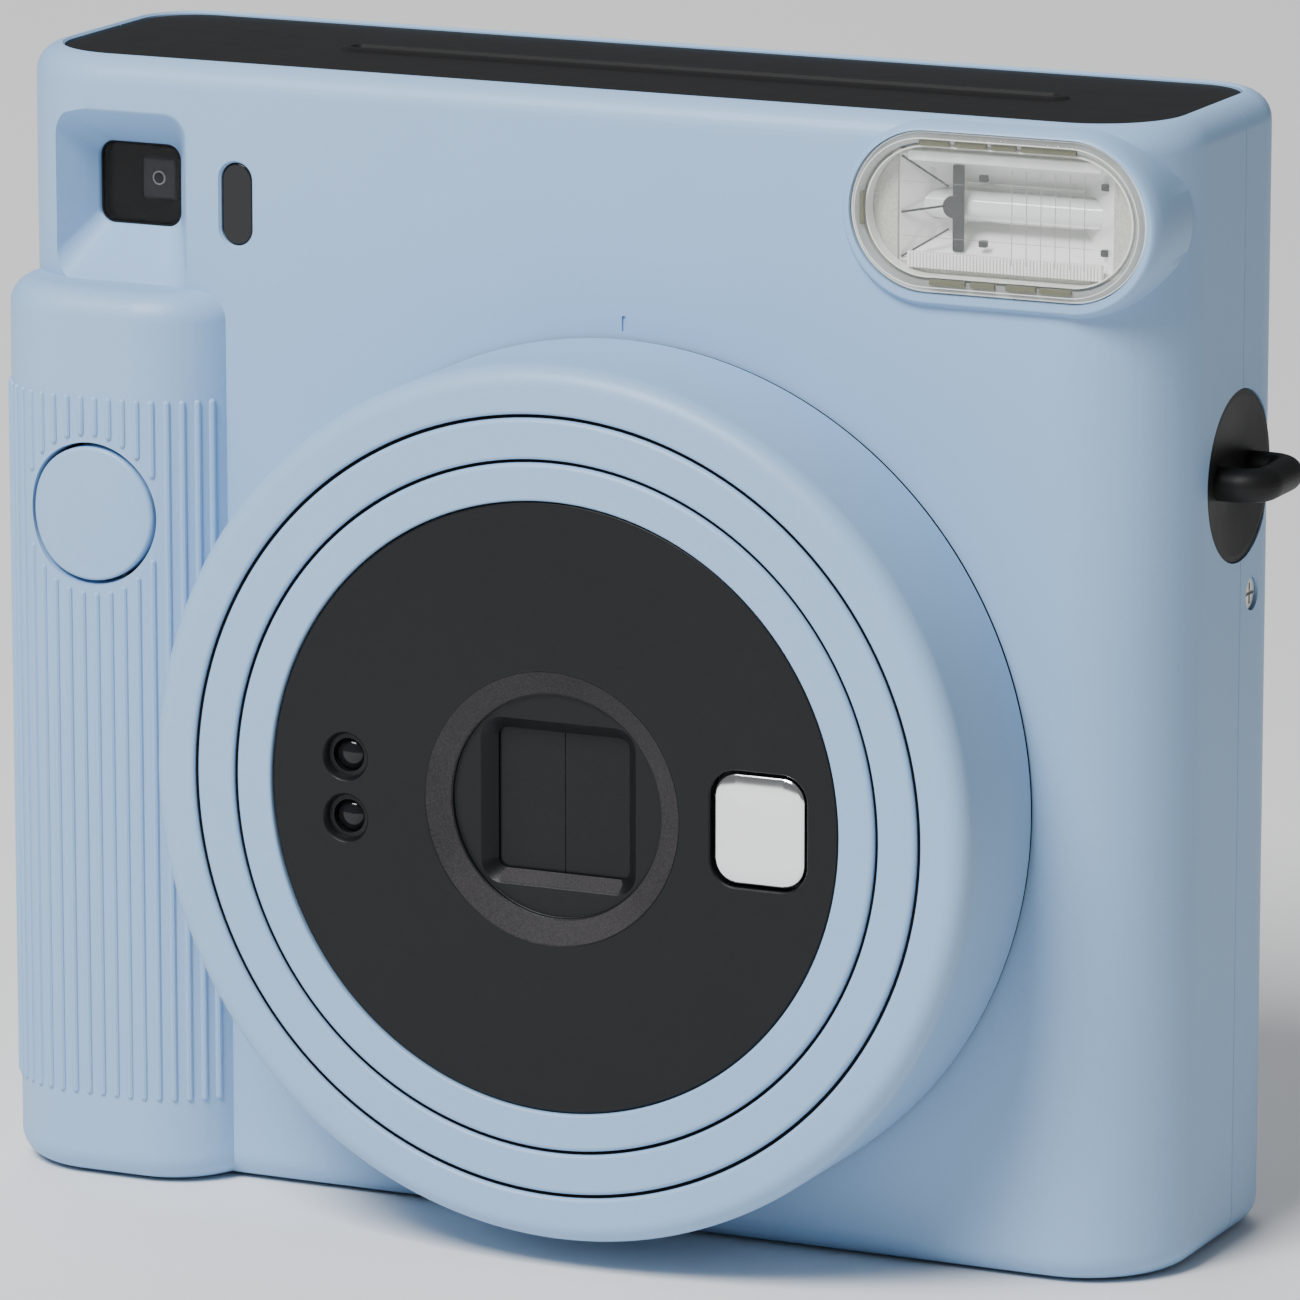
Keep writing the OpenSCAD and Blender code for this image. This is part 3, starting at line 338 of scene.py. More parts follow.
beads = []
for k in range(26):
    (x, y), (out_x, out_y) = grip_surface(1.75 + rib_pitch * k)
    at = (x - 0.06 * out_x, y - 0.06 * out_y)
    across = clear_r * clear_r - (x - button_x) ** 2
    in_front = y < -14 or x > -60
    if across > 0 and in_front:
        half = sqrt(across)
        beads.append(bead(*at, rib_z0, button_z - half))
        beads.append(bead(*at, button_z + half, rib_z1))
    else:
        beads.append(bead(*at, rib_z0, rib_z1))
grip = upright("grip", grip_outline, edge_steps(0, grip_top, edge_r))
combine(grip, [joined("beads", beads)], "UNION")

# Soft mound under the flash; it runs out over the rounded corner
flash_x, flash_z, flash_w, flash_h = 47.8, 109.15, 31.8, 16.3


def around(x, z, half_w, half_h):
    """Sides of an upright box about its middle."""
    return (x - half_w, z - half_h, x + half_w, z + half_h)


mound = slab("mound", *around(flash_x, flash_z - 0.4, flash_w / 2, flash_h / 2), flash_h / 2,
             [(front_y + 8, 1.5), (front_y + 3, 1.45), (front_y + 1, 1.3), (front_y + 0.3, 1.15),
              (front_y - 0.3, 0.95), (front_y - 0.7, 0.7), (front_y - 0.85, 0.4)], 20)
combine(body, [grip, mound], "UNION")

# Hollow inside, with solid walls left round the funnel
hollow_top = 115.1


def body_hollow():
    """Space inside the walls, up to the seat of the top panel."""
    return upright("hollow", lambda inset: body_outline(inset + wall),
                   [(0, wall), (0, hollow_top)])


hollow = body_hollow()
combine(hollow, [block(-side_x, front_y, finder_mouth[1] - wall, finder_mouth[2] + wall,
                       finder_y + wall, finder_mouth[3] + wall)])
grip_hollow = upright("grip_hollow", lambda inset: grip_outline(inset + wall),
                      [(0, wall), (0, grip_top - wall)])
lug_y, lug_z, lug_r = front_y + 21.5, 80.5, 8.8
panel_under = 116.6


def panel_seat():
    """Pocket that the top panel lies in, and the opening under it."""
    seat = upright("seat", lambda inset: body_outline(inset + 2.95),
                   [(0, panel_under), (0, body_h - 0.25), (-0.25, body_h), (-0.4, body_h + 1)])
    opening = upright("opening", lambda inset: body_outline(inset + 4.95),
                      [(0, 113.6), (0, 117)])
    return [seat, opening]


def lug_seats():
    """Round seats for the strap lugs, half in each cover."""
    return [rod_x(lug_y, lug_z, lug_r + 0.12, s * side_x - 1.3, s * side_x + 1.3)
            for s in (-1, 1)]


ring_hole = rod_y(lens_x, lens_z, 42.6, 44, [(front_y - 9, 0), (front_y + wall + 1, 0)])
button_hole = rod_y(button_x, button_z, button_r + 0.28, 32,
                    [(grip_y - 1, 0.3), (grip_y, 0.18), (grip_y + 1.3, 0), (grip_y + 6, 0)])
light_box = (-39.2, 99.9, -35.6, 108.6)
light_hole = slab("light_hole", *light_box, 1.8,
                  [(front_y - 1, 0.6), (front_y, 0.22), (front_y + 0.3, 0), (front_y + 3, 0)])
flash_seat = slab("flash_seat", *around(flash_x, flash_z, flash_w / 2, flash_h / 2), flash_h / 2,
                  [(front_y - 3, 0.08), (front_y + 2, 0.08)], 24)
flash_well = block(flash_x - 12.5, front_y, flash_z - 6, flash_x + 12.5, front_y + 8.3,
                   flash_z + 6)
index_mark = slab("index_mark", lens_x - 0.22, 94.3, lens_x + 0.22, 96.0, 0.2,
                  [(front_y - 1, 0), (front_y + 0.25, 0)], 4)
combine(body, [hollow, grip_hollow, *panel_seat(), *lug_seats(), ring_hole, button_hole,
               light_hole, flash_seat, flash_well, index_mark])
finish_piece(body, pale_blue, "camera_body", ["front_cover"])

# ---- Rear cover ----
# The other half of the shell, in the same plastic. It holds the two doorways, the hinge
# knuckles of the film door and of the battery door, and a screw in each side wall.
door_box = (-34.4, 8, 55.2, 112)
bay_box = (-57.4, 9, -39.8, 73)
door_hinge = (57.7, rear_y + 0.95)
bay_hinge = (-59.1, rear_y - 0.3)
screw_y, screw_z = front_y + 25.4, 67.6
hinge_gap = 0.3
door_spans = [(20, 34), (84, 98)]
bay_spans = [(18, 28), (54, 64)]
door_knuckle_r, bay_knuckle_r = 2.2, 1.4
hinges = ((door_hinge, door_knuckle_r, door_spans), (bay_hinge, bay_knuckle_r, bay_spans))

rear = upright("rear_cover_shell", body_outline, edge_steps(0, body_h, edge_r))
combine(rear, [block(-70, parting_y + 0.05, -5, 70, 30, 125)], "INTERSECT")
doorways = [slab("doorway", *sides, r, [(rear_y - wall - 1, hinge_gap), (rear_y - 0.3, hinge_gap),
                                        (rear_y, hinge_gap + 0.3), (rear_y + 1, hinge_gap + 1)])
            for sides, r in ((door_box, 4), (bay_box, 1.5))]
troughs = [rod_z(*at, r + hinge_gap, a - hinge_gap, b + hinge_gap)
           for at, r, spans in hinges for a, b in spans]
combine(rear, [body_hollow(), *doorways, *troughs])
knuckles = []
for at, r, spans in hinges:
    for a, b in spans:
        knuckles += [rod_z(*at, r, a - 8, a - hinge_gap), rod_z(*at, r, b + hinge_gap, b + 8)]
combine(rear, [joined("knuckles", knuckles)], "UNION")


def drawn_in(box, gap):
    """Sides of a box made smaller by a gap all round."""
    return (box[0] + gap, box[1] + gap, box[2] - gap, box[3] - gap)


finder_back = slab("finder_back", *drawn_in(finder_hole, -1.5), 2,
                   [(rear_y - wall - 1, 0), (rear_y + 1, 0)])
latch_slot = slab("latch_slot", -38.8, 53.7, -35.2, 69.3, 0.6,
                  [(rear_y - wall - 1, 0), (rear_y - 0.25, 0), (rear_y + 0.5, 0.75)])
screw_holes = [rod_x(screw_y, screw_z, 1.75, s * side_x - 0.9, s * side_x + 1, 32)
               for s in (-1, 1)]
pin_holes = [rod_z(*door_hinge, 0.8, 8, 112), rod_z(*bay_hinge, 0.6, 10, 72)]
combine(rear, [finder_back, latch_slot, *screw_holes, *pin_holes, *panel_seat(), *lug_seats()])
finish_piece(rear, pale_blue, "camera_body", ["rear_cover"])

# ---- Top panel ----
# Black plate let into both covers, with the slot that the film leaves by. The slot has a
# rounded lip on each side and the plate a small radius round its rim.
panel_fit = 3.05
panel_z = body_h - 0.35
slot_half = 39.5
panel = upright("top_panel_plate", lambda inset: body_outline(inset + panel_fit),
                [(0, panel_under), (0, panel_z - 0.3), (0.09, panel_z - 0.09), (0.3, panel_z)])
slot_y = 0.15


def lying_slot(half_w, z, half_d):
    """Ring of a long slot with round ends, lying flat."""
    ends = (arc(lens_x - half_w + half_d, slot_y, half_d, 90, 270, 10)
            + arc(lens_x + half_w - half_d, slot_y, half_d, -90, 90, 10))
    return [(x, y, z) for x, y in ends]


lip = loft("slot_lip", [lying_slot(slot_half + 1.6, panel_z - 0.4, 2.4),
                        lying_slot(slot_half + 1.5, panel_z, 2.2),
                        lying_slot(slot_half + 1.2, panel_z + 0.24, 1.8),
                        lying_slot(slot_half + 0.8, panel_z + 0.32, 1.3)])
slot_cut = loft("slot_cut", [lying_slot(slot_half, 116, 0.8), lying_slot(slot_half, panel_z, 0.8),
                             lying_slot(slot_half + 0.5, panel_z + 0.5, 1.3)])
combine(panel, [lip], "UNION")
combine(panel, [slot_cut])
finish_piece(panel, black_grain, "camera_body", ["top_panel"])

# ---- Lens ring and barrels ----
# Three nested rings in the body's blue: the turning ring, and the two barrels that run out
# of it. Each is moulded with rounded lips, and a dark gap parts it from the next.
ring_y = -35.95


def rounded(corners, steps):
    """Outline with its corners rounded; each is (radius, depth, rounding)."""
    out = []
    for i, (a, b, r) in enumerate(corners):
        here = Vector((a, b))
        if r == 0:
            out.append(here)
            continue
        back = (Vector(corners[i - 1][:2]) - here).normalized()
        on = (Vector(corners[(i + 1) % len(corners)][:2]) - here).normalized()
        half = back.angle(on) / 2
        centre = here + (back + on).normalized() * (r / sin(half))
        start = (here + back * (r / tan(half)) - centre).normalized()
        end = (here + on * (r / tan(half)) - centre).normalized()
        out += [centre + start.slerp(end, k / steps) * r for k in range(steps + 1)]
    return out


def turned(name, corners, steps=6):
    """Piece turned about the lens axis from an outline of radius and depth."""
    n = 192
    outline = rounded(corners, steps)
    count = len(outline)
    points = [(lens_x + r * cos(2 * pi * i / n), y, lens_z + r * sin(2 * pi * i / n))
              for i in range(n) for r, y in outline]
    faces = []
    for i in range(n):
        here, there = i * count, (i + 1) % n * count
        for k in range(count):
            m = (k + 1) % count
            faces.append((here + k, here + m, there + m, there + k))
    made = piece(name, points, faces)
    work = bmesh.new()
    work.from_mesh(made.data)
    bmesh.ops.dissolve_degenerate(work, edges=work.edges, dist=1e-7)
    work.to_mesh(made.data)
    work.free()
    return made


ring = turned("lens_ring_shell", [
    (40.4, ring_y, 0.45), (45.3, ring_y, 2.2), (45.3, front_y - 0.55, 0.12),
    (42.5, front_y - 0.55, 0), (42.5, front_y + 2.3, 0), (40.4, front_y + 2.3, 0)], 8)
finish_piece(ring, pale_blue, "lens_ring", ["lens_ring"])

middle = turned("middle_barrel_shell", [
    (35.85, ring_y, 0.4), (40.03, ring_y, 0.55), (40.03, -8.2, 0), (37.9, -8.2, 0),
    (37.9, ring_y + 3, 0), (35.85, ring_y + 3, 0)])
finish_piece(middle, pale_blue, "middle_barrel", ["middle_barrel"])

inner = turned("inner_barrel_shell", [
    (31.62, ring_y, 0.3), (35.5, ring_y, 0.55), (35.5, -10.2, 0), (33.4, -10.2, 0),
    (33.4, ring_y + 4.4, 0), (30, ring_y + 4.4, 0), (30, ring_y + 3.4, 0),
    (31.62, ring_y + 3.4, 0)])
finish_piece(inner, pale_blue, "inner_barrel", ["inner_barrel"])

# Thin black rings lie in the gaps, and one under the turning ring, as painted shade down in each
# gap
gap_shade_black = moulded_plastic("Black painted gap shade", (0.004, 0.004, 0.005), 0.95, 0.4, 0.1, specular=0.1,
                       speckle=0.3)
for name, r0, r1, y0, y1, rides_on in (
        ("ring_gap_shade", 40.06, 40.37, ring_y + 0.5, ring_y + 8, "lens_ring"),
        ("barrel_gap_shade", 35.53, 35.82, ring_y + 0.5, ring_y + 2.9, "middle_barrel"),
        ("base_gap_shade", 42.6, 45.18, front_y - 0.53, front_y - 0.04, "lens_ring")):
    shade_ring = turned(name, [(r0, y0, 0), (r1, y0, 0), (r1, y1, 0), (r0, y1, 0)])
    finish_piece(shade_ring, gap_shade_black, rides_on)

# ---- Lens face ----
# Matt black disc that closes the inner barrel. A shallow cone leads to a sunk floor with a
# square hopper for the barrier, two stepped wells for the sensors and a seat for the mirror.
lens_black = moulded_plastic("Lens black plastic", (0.0052, 0.0056, 0.0068), 0.42, 0.22, 0.03,
                             specular=0.3, speckle=0.1)
face_y = ring_y + 0.35
floor_y = ring_y + 1.95
face_back_y = ring_y + 3.4
face = turned("lens_face_disc", [
    (0, floor_y, 0), (11.6, floor_y, 0.12), (11.6, floor_y - 0.4, 0.08), (14.25, face_y, 0.25),
    (31.5, face_y, 0.25), (31.5, face_back_y, 0), (0, face_back_y, 0)])
gate_half = 7.3
gate = slab("gate", *around(lens_x, lens_z, gate_half, gate_half), 1.0,
            [(floor_y - 1, 1.5), (floor_y, 1.34), (floor_y + 0.12, 1.2),
             (face_back_y - 0.08, 0.04), (face_back_y, 0), (face_back_y + 1, 0)])
sensor_x, sensor_step = lens_x - 23.2, 3.2
wells = [rod_y(sensor_x, lens_z + s * sensor_step, 2.45, 16, [
    (face_y - 1, 0.3), (face_y, 0.14), (face_y + 0.12, 0), (face_y + 0.9, -0.25),
    (face_y + 0.9, -0.7), (face_back_y + 1, -0.8)]) for s in (-1, 1)]
mirror_box = around(lens_x + 22.8, lens_z, 4.95, 5.65)
mirror_seat = slab("mirror_seat", *mirror_box, 2.5,
                   [(face_y - 1, 0.7), (face_y, 0.5), (face_y + 0.15, 0.36), (face_y + 1.4, 0.36)])
combine(face, [gate, *wells, mirror_seat])
finish_piece(face, lens_black, "inner_barrel", ["lens_face"])

# Coarse grained skin of the cone and of the lower hopper wall only, in a lighter black than the
# face:
# the grain is real, the lighter colour a painted highlight where they catch the light from above
coarse_lit_black = moulded_plastic("Coarse grained black with painted highlight", (0.036, 0.034, 0.036), 0.6, 0.2, 0.08,
                               specular=0.1, speckle=0.4)
cone_skin = turned("lens_cone_skin", [
    (11.75, floor_y - 0.52, 0), (14.1, face_y + 0.02, 0), (14.1, face_y + 0.12, 0),
    (11.75, floor_y - 0.42, 0)])
# Only the lower wall, which faces the light, gets this painted highlight
hopper_highlight_skin = loft("hopper_highlight_skin", [
    [(lens_x - gate_half - 0.1, floor_y + 0.14, lens_z - drop - 1.17),
     (lens_x + gate_half + 0.1, floor_y + 0.14, lens_z - drop - 1.17),
     (lens_x + gate_half - 0.9, face_back_y - 0.1, lens_z - drop),
     (lens_x - gate_half + 0.9, face_back_y - 0.1, lens_z - drop)]
    for drop in (gate_half - 0.02, gate_half + 0.1)])
finish_piece(joined("lens_highlight_skins", [cone_skin, hopper_highlight_skin]), coarse_lit_black, "inner_barrel")

# ---- Lens barrier ----
# Two thin black blades that close the gate and draw apart to the sides. Each has a rounded
# meeting edge, so a fine line shows where they touch.
for side, name in ((-1, "barrier_left"), (1, "barrier_right")):
    inside, outside = lens_x + side * 0.015, lens_x + side * 8.4
    blade = slab(name + "_blade", min(inside, outside), lens_z - 8.8, max(inside, outside),
                 lens_z + 8.8, 0.12, soft_front(face_back_y + 0.3, face_back_y + 0.9, 0.06), 3)
    finish_piece(blade, lens_black, name, [name])

# ---- Sensor lenses ----
# Two small domes, one over the other, moulded in smoked plastic. Each is set at the bottom
# of its own stepped well in the lens face.
dark_gloss = moulded_plastic("Smoked window plastic", (0.009, 0.009, 0.011), 0.09, 0.5, 0.002,
                             specular=0.35)
domes = [rod_y(sensor_x, lens_z + s * sensor_step, 1.68, 14, [
    (face_y + 0.95, -1.5), (face_y + 0.98, -1.2), (face_y + 1.1, -0.8), (face_y + 1.3, -0.35),
    (face_y + 1.6, 0), (face_back_y, 0)]) for s in (-1, 1)]
finish_piece(joined("sensor_domes", domes), dark_gloss, "inner_barrel",
             ["sensor_lenses"])

# ---- Portrait mirror ----
# Small domed mirror for portraits of oneself, a silvered plastic moulding with rounded
# corners. It lies in a seat of the lens face, a little below the rim.
def plain_metal(name, colour, roughness, metallic=1.0, size=0.6, streak=0.05, depth=0.003):
    """Metal or metallised plastic with an uneven polish."""
    made = moulded_plastic(name, colour, roughness, size, depth, speckle=streak)
    made.node_tree.nodes["Principled BSDF"].inputs["Metallic"].default_value = metallic
    return made


silvered = plain_metal("Silvered mirror", (0.93, 0.94, 0.95), 0.12, 1.0, 4, 0.01, 0.001)
mirror = slab("portrait_mirror", *mirror_box, 2.4, [
    (face_y + 0.02, -3.6), (face_y + 0.06, -2.4), (face_y + 0.14, -1.2), (face_y + 0.22, -0.4),
    (face_y + 0.32, -0.08), (face_y + 0.5, 0), (face_y + 1.4, 0)], 12)
finish_piece(mirror, silvered, "inner_barrel", ["selfie_mirror"], 60)

# ---- Viewfinder ----
# A clear smoked window at the end of the funnel. Behind it is the black tunnel with the
# inner lens block and its small aiming ring.
def veil(name, colour, roughness, alpha):
    """Thin clear plastic, seen as a veil over what lies behind it."""
    made = moulded_plastic(name, colour, roughness, 2.5, 0.004, speckle=0.01)
    made.node_tree.nodes["Principled BSDF"].inputs["Alpha"].default_value = alpha
    return made


smoked_clear = veil("Smoked clear plastic", (0.006, 0.006, 0.008), 0.06, 0.25)
window = slab("finder_window_pane", *drawn_in(finder_hole, 0.2), 1.4,
              soft_front(finder_y + 0.25, finder_y + 1.2, 0.15))
finish_piece(window, smoked_clear, "camera_body", ["viewfinder_window"])
window_sleeve = slab("finder_window_sleeve", *finder_hole, 1.6,
                     [(finder_y + 0.2, -0.02), (finder_y + 2.1, -0.02)])
combine(window_sleeve, [slab("sleeve_bore", *finder_hole, 1.6, [(finder_y - 1, -0.2),
                                                                (finder_y + 3, -0.2)])])
finish_piece(window_sleeve, black_grain, "camera_body")
finder_mid = ((finder_hole[0] + finder_hole[2]) / 2, (finder_hole[1] + finder_hole[3]) / 2)
sight_x, sight_z = finder_mid[0] + 0.9, finder_mid[1] + 0.3
inner_block = slab("finder_inner_block", *around(sight_x, sight_z, 2.1, 2.4), 0.5,
                   soft_front(finder_y + 2.3, finder_y + 6, 0.5))
combine(inner_block, [rod_y(sight_x, sight_z, 0.75, 12,
                            [(finder_y + 2, 0.1), (finder_y + 2.7, 0)])])
core = rod_y(sight_x, sight_z, 0.5, 12,
             [(finder_y + 2.35, -0.1), (finder_y + 2.4, 0), (finder_y + 3.4, 0)])
block_dark = moulded_plastic("Finder block plastic", (0.028, 0.031, 0.042), 0.12, 0.5, 0.002)
finish_piece(joined("finder_sight", [inner_block, core]), block_dark, "camera_body")
sight_ring = rod_y(sight_x, sight_z, 0.74, 12, [(finder_y + 2.3, 0), (finder_y + 2.4, 0)])
combine(sight_ring, [rod_y(sight_x, sight_z, 0.6, 12, [(finder_y + 2, 0), (finder_y + 3, 0)])])
sight_grey = moulded_plastic("Aiming ring plastic", (0.85, 0.86, 0.88), 0.3, 0.3, 0.003)
finish_piece(sight_ring, sight_grey, "camera_body")

# ---- Light sensor window ----
# Narrow pane of dark smoked plastic with half-round ends. It lies in an opening of the front
# cover and ends a little below its surface.
sensor_pane = slab("light_sensor_pane", *drawn_in(light_box, 0.08), 1.72,
                   soft_front(front_y + 0.35, front_y + 2, 0.2))
finish_piece(sensor_pane, dark_gloss, "camera_body", ["light_window"])

# ---- Flash reflector and tube ----
# Bright formed trough behind the flash cover. Its end walls slant in to the ends of the
# glass tube, which is held by a dark upright strap, with small contacts above and below.
reflector_white = plain_metal("Bright reflector", (0.95, 0.955, 0.94), 0.16, 0.25, 1.2, 0.03, 0.02)
tube_y = front_y + 5
trough = slab("flash_reflector_trough", *around(flash_x, flash_z, 12.3, 5.8), 0.3,
              [(front_y + 1.75, 0), (front_y + 7.9, 0)], 3)


def trough_ring(y, half_w, half_h):
    """Opening of the trough at one depth."""
    return [(flash_x + a * half_w, y, flash_z + b * half_h)
            for a, b in ((-1, -1), (1, -1), (1, 1), (-1, 1))]


combine(trough, [loft("trough_cut", [trough_ring(front_y + 1, 11.5, 5.35),
                                     trough_ring(front_y + 1.8, 11.4, 5.25),
                                     trough_ring(front_y + 6.9, 6.3, 2.0)])])
combine(trough, [rod_x(tube_y, flash_z, 1.55, flash_x - 13, flash_x + 13, 32)])
finish_piece(trough, reflector_white, "camera_body", ["flash_reflector"])

tube_glass = plain_metal("Milky tube glass", (0.88, 0.90, 0.90), 0.06, 0.0, 2, 0.01, 0.002)
tube_ring = [(1.0, 0.0), (1.4, 0.12), (1.5, 0.4), (1.5, 24.0), (1.4, 24.28), (1.0, 24.4)]
tube = loft("flash_tube_glass", [[(flash_x - 12.2 + x, tube_y + r * cos(2 * pi * i / 32),
                                   flash_z + r * sin(2 * pi * i / 32)) for i in range(32)]
                                 for r, x in tube_ring])
finish_piece(tube, tube_glass, "camera_body", ["flash_tube"])

# Dark metal for the strap, collar and contacts; it also paints the shade in the reflector's folds
dark_metal_and_fold_shade = plain_metal("Dark electrode and painted fold shade", (0.022, 0.024, 0.03), 0.35, 0.3, 0.6, 0.1)
strap = slab("flash_tube_strap", *around(flash_x - 5.6, flash_z, 0.6, 4.4), 0.2,
             [(tube_y - 2.3, 0), (tube_y - 2.1, 0)], 4)
collar = rod_y(flash_x - 6.1, flash_z + 0.1, 1.15, 20,
               [(tube_y - 2.45, -0.1), (tube_y - 2.4, 0), (tube_y - 2.35, 0)])
contacts = [slab("contact", *around(flash_x + a, flash_z + b, 0.45, 0.35), 0.15,
                 [(tube_y - 2.4, 0), (tube_y - 2.0, 0)], 4)
            for a in (-2.9, 10.2) for b in (-3.4, 3.2)]


def thin_bar(start, end, half):
    """Thin square bar between two places on the flash, given from its middle."""
    a, b = [Vector((flash_x + x, y, flash_z + z)) for x, y, z in (start, end)]
    across = (b - a).cross(Vector((0, 1, 0))).normalized() * half
    deep = Vector((0, half, 0))
    return loft("bar", [[p + across + deep, p - across + deep, p - across - deep, p + across - deep]
                        for p in (a, b)])


# Painted shade in the folds of the slanted end wall: dark lines, one of them across its middle to
# the tube
fold_shade_lines = [thin_bar((-11.3, front_y + 1.75, z), (-6.6, front_y + 2.65, z * 0.42), 0.09)
         for z in (-5.1, 5.1)]
fold_shade_lines.append(thin_bar((-11.3, front_y + 1.75, -0.6), (-6.9, front_y + 2.6, 0.2), 0.11))
finish_piece(joined("flash_contacts_and_fold_shade", [strap, collar, *contacts, *fold_shade_lines]), dark_metal_and_fold_shade,
             "camera_body")

# ---- Flash cover ----
# Clear moulding with a thick rounded rim, an inner ridge and fine upright lines on its
# inside. Olive clips along its long edges and a tab at one end hold it in the cover.
flash_clear = veil("Clear flash plastic", (0.86, 0.89, 0.84), 0.05, 0.05)
# The rim's milky band is made light as a painted glow of the light that the thick clear rim carries
milky_glow = veil("Milky rim plastic with painted glow", (0.93, 0.98, 0.93), 0.22, 0.28)
# Thin bright rings on the rim's edges are painted highlights
painted_highlight_edge = veil("Painted highlight edge", (0.97, 0.98, 0.93), 0.1, 0.9)


def stadium(name, grow, levels):
    """Plate with half-round ends on the flash."""
    return slab(name, *around(flash_x, flash_z, flash_w / 2, flash_h / 2), flash_h / 2,
                [(y, g + grow) for y, g in levels], 24)


def stadium_ring(name, outer, inner, y0, y1, soft):
    """Band along the rim between two insets, with a soft front edge."""
    band = stadium(name, -outer, [(y0, -soft), (y0 + soft, 0), (y1, 0)])
    return combine(band, [stadium("bore", -inner, [(y0 - 1, 0), (y1 + 1, 0)])])


cover_y = front_y - 1.6
cover = stadium("flash_cover_shell", 0, soft_front(cover_y, front_y + 1.6, 0.8))
combine(cover, [stadium("cover_hollow", -1.25, [(cover_y + 1.2, -0.4), (cover_y + 1.5, -0.1),
                                                (cover_y + 1.9, 0), (front_y + 3, 0)])])
finish_piece(cover, flash_clear, "camera_body", ["flash_cover"])
# Milky band in the rim: its light colour is a painted glow
rim_glow_band = stadium_ring("flash_rim_glow_band", 0.1, 1.2, cover_y + 1.15, front_y + 1.55, 0.15)
finish_piece(rim_glow_band, milky_glow, "camera_body")
# Painted highlights: thin bright rings at the inner and outer edges of the rim and near its rounded
# front
edges = [stadium_ring("edge", 1.5, 1.66, cover_y + 1.25, front_y + 1.3, 0.04),
         stadium_ring("edge", 0.05, 0.2, front_y - 0.45, front_y - 0.1, 0.04),
         stadium_ring("edge", 0.62, 0.7, cover_y + 0.42, cover_y + 0.6, 0.02)]
finish_piece(joined("flash_rim_highlights", edges), painted_highlight_edge, "camera_body")

line_grey = veil("Grey moulding line", (0.30, 0.31, 0.30), 0.3, 0.55)
line_pitch = 1.55
lines = [slab("line", *around(flash_x + 1.435 + line_pitch * k, flash_z, 0.035, 4.8), 0.03,
              [(cover_y + 1.25, 0), (cover_y + 1.32, 0)], 3)
         for k in range(6)]
lines += [slab("line", flash_x - 10.3, flash_z + b, flash_x + 10.4, flash_z + b + 0.05, 0.02,
               [(cover_y + 1.35, 0), (cover_y + 1.4, 0)], 3) for b in (-2.6, 2.9)]
finish_piece(joined("flash_lines", lines), line_grey, "camera_body")

olive_clip = veil("Olive clip plastic", (0.13, 0.13, 0.075), 0.3, 0.85)
clips = []
for start, end, above in ((-8.4, -5.2, 1), (-4.6, -1.2, 1), (-0.7, 2.0, 1), (2.5, 8.4, 1),
                          (-7.2, -3.4, -1), (-2.8, -0.2, -1), (1.0, 4.2, -1), (4.6, 8.0, -1)):
    low, high = sorted((above * 6.72, above * 7.3))
    clips.append(slab("clip", flash_x + start, flash_z + low, flash_x + end, flash_z + high, 0.12,
                      [(cover_y + 0.72, 0), (cover_y + 1.1, 0)], 4))
clips.append(slab("clip", flash_x - 14.75, flash_z - 1.7, flash_x - 14.35, flash_z + 1.7, 0.1,
                  [(cover_y + 0.72, 0), (cover_y + 1.1, 0)], 4))
finish_piece(joined("flash_clips", clips), olive_clip, "camera_body")

frosted = moulded_plastic("Frosted backing", (0.50, 0.50, 0.445), 0.35, 0.25, 0.03, speckle=0.25)
backing = stadium("flash_backing", -1.4, [(front_y + 1.42, 0), (front_y + 1.7, 0)])
combine(backing, [block(flash_x - 11.6, front_y, flash_z - 5.4, flash_x + 11.6, front_y + 3,
                        flash_z + 5.4)])
finish_piece(backing, frosted, "camera_body")

prism_white = moulded_plastic("White prism plastic", (0.93, 0.94, 0.92), 0.18, 0.6, 0.003)
prism_pitch = 0.36
prisms = [slab("prism", *around(flash_x - 10.05 + prism_pitch * k, flash_z - 5.1, 0.15, 0.8), 0.1,
               soft_front(front_y + 0.55, front_y + 1.35, 0.1), 3) for k in range(58)]
prisms.append(slab("shelf", flash_x - 10.2, flash_z + 4.9, flash_x + 10.6, flash_z + 5.9, 0.3,
                   soft_front(front_y + 0.55, front_y + 1.35, 0.15), 4))
finish_piece(joined("flash_prisms", prisms), prism_white, "camera_body")

# ---- Release button ----
# Round button in the body's blue that follows the bend of the grip, with a small round
# along its rim. A flange behind the grip's wall stops it from falling out.
def grip_depth(x):
    """Depth of the grip's surface at a sideways place."""
    if x < outer_x:
        return grip_y + outer_r - sqrt(outer_r ** 2 - (x - outer_x) ** 2)
    if x > inner_x:
        return grip_y + inner_r - sqrt(inner_r ** 2 - (x - inner_x) ** 2)
    return grip_y


def button_ring(r, sink):
    """Ring of the button that lies on the grip's surface, sunk by so much."""
    n = 72
    turns = [2 * pi * i / n for i in range(n)]
    return [(button_x + r * cos(a), grip_depth(button_x + r * cos(a)) + sink - 0.05,
             button_z + r * sin(a)) for a in turns]


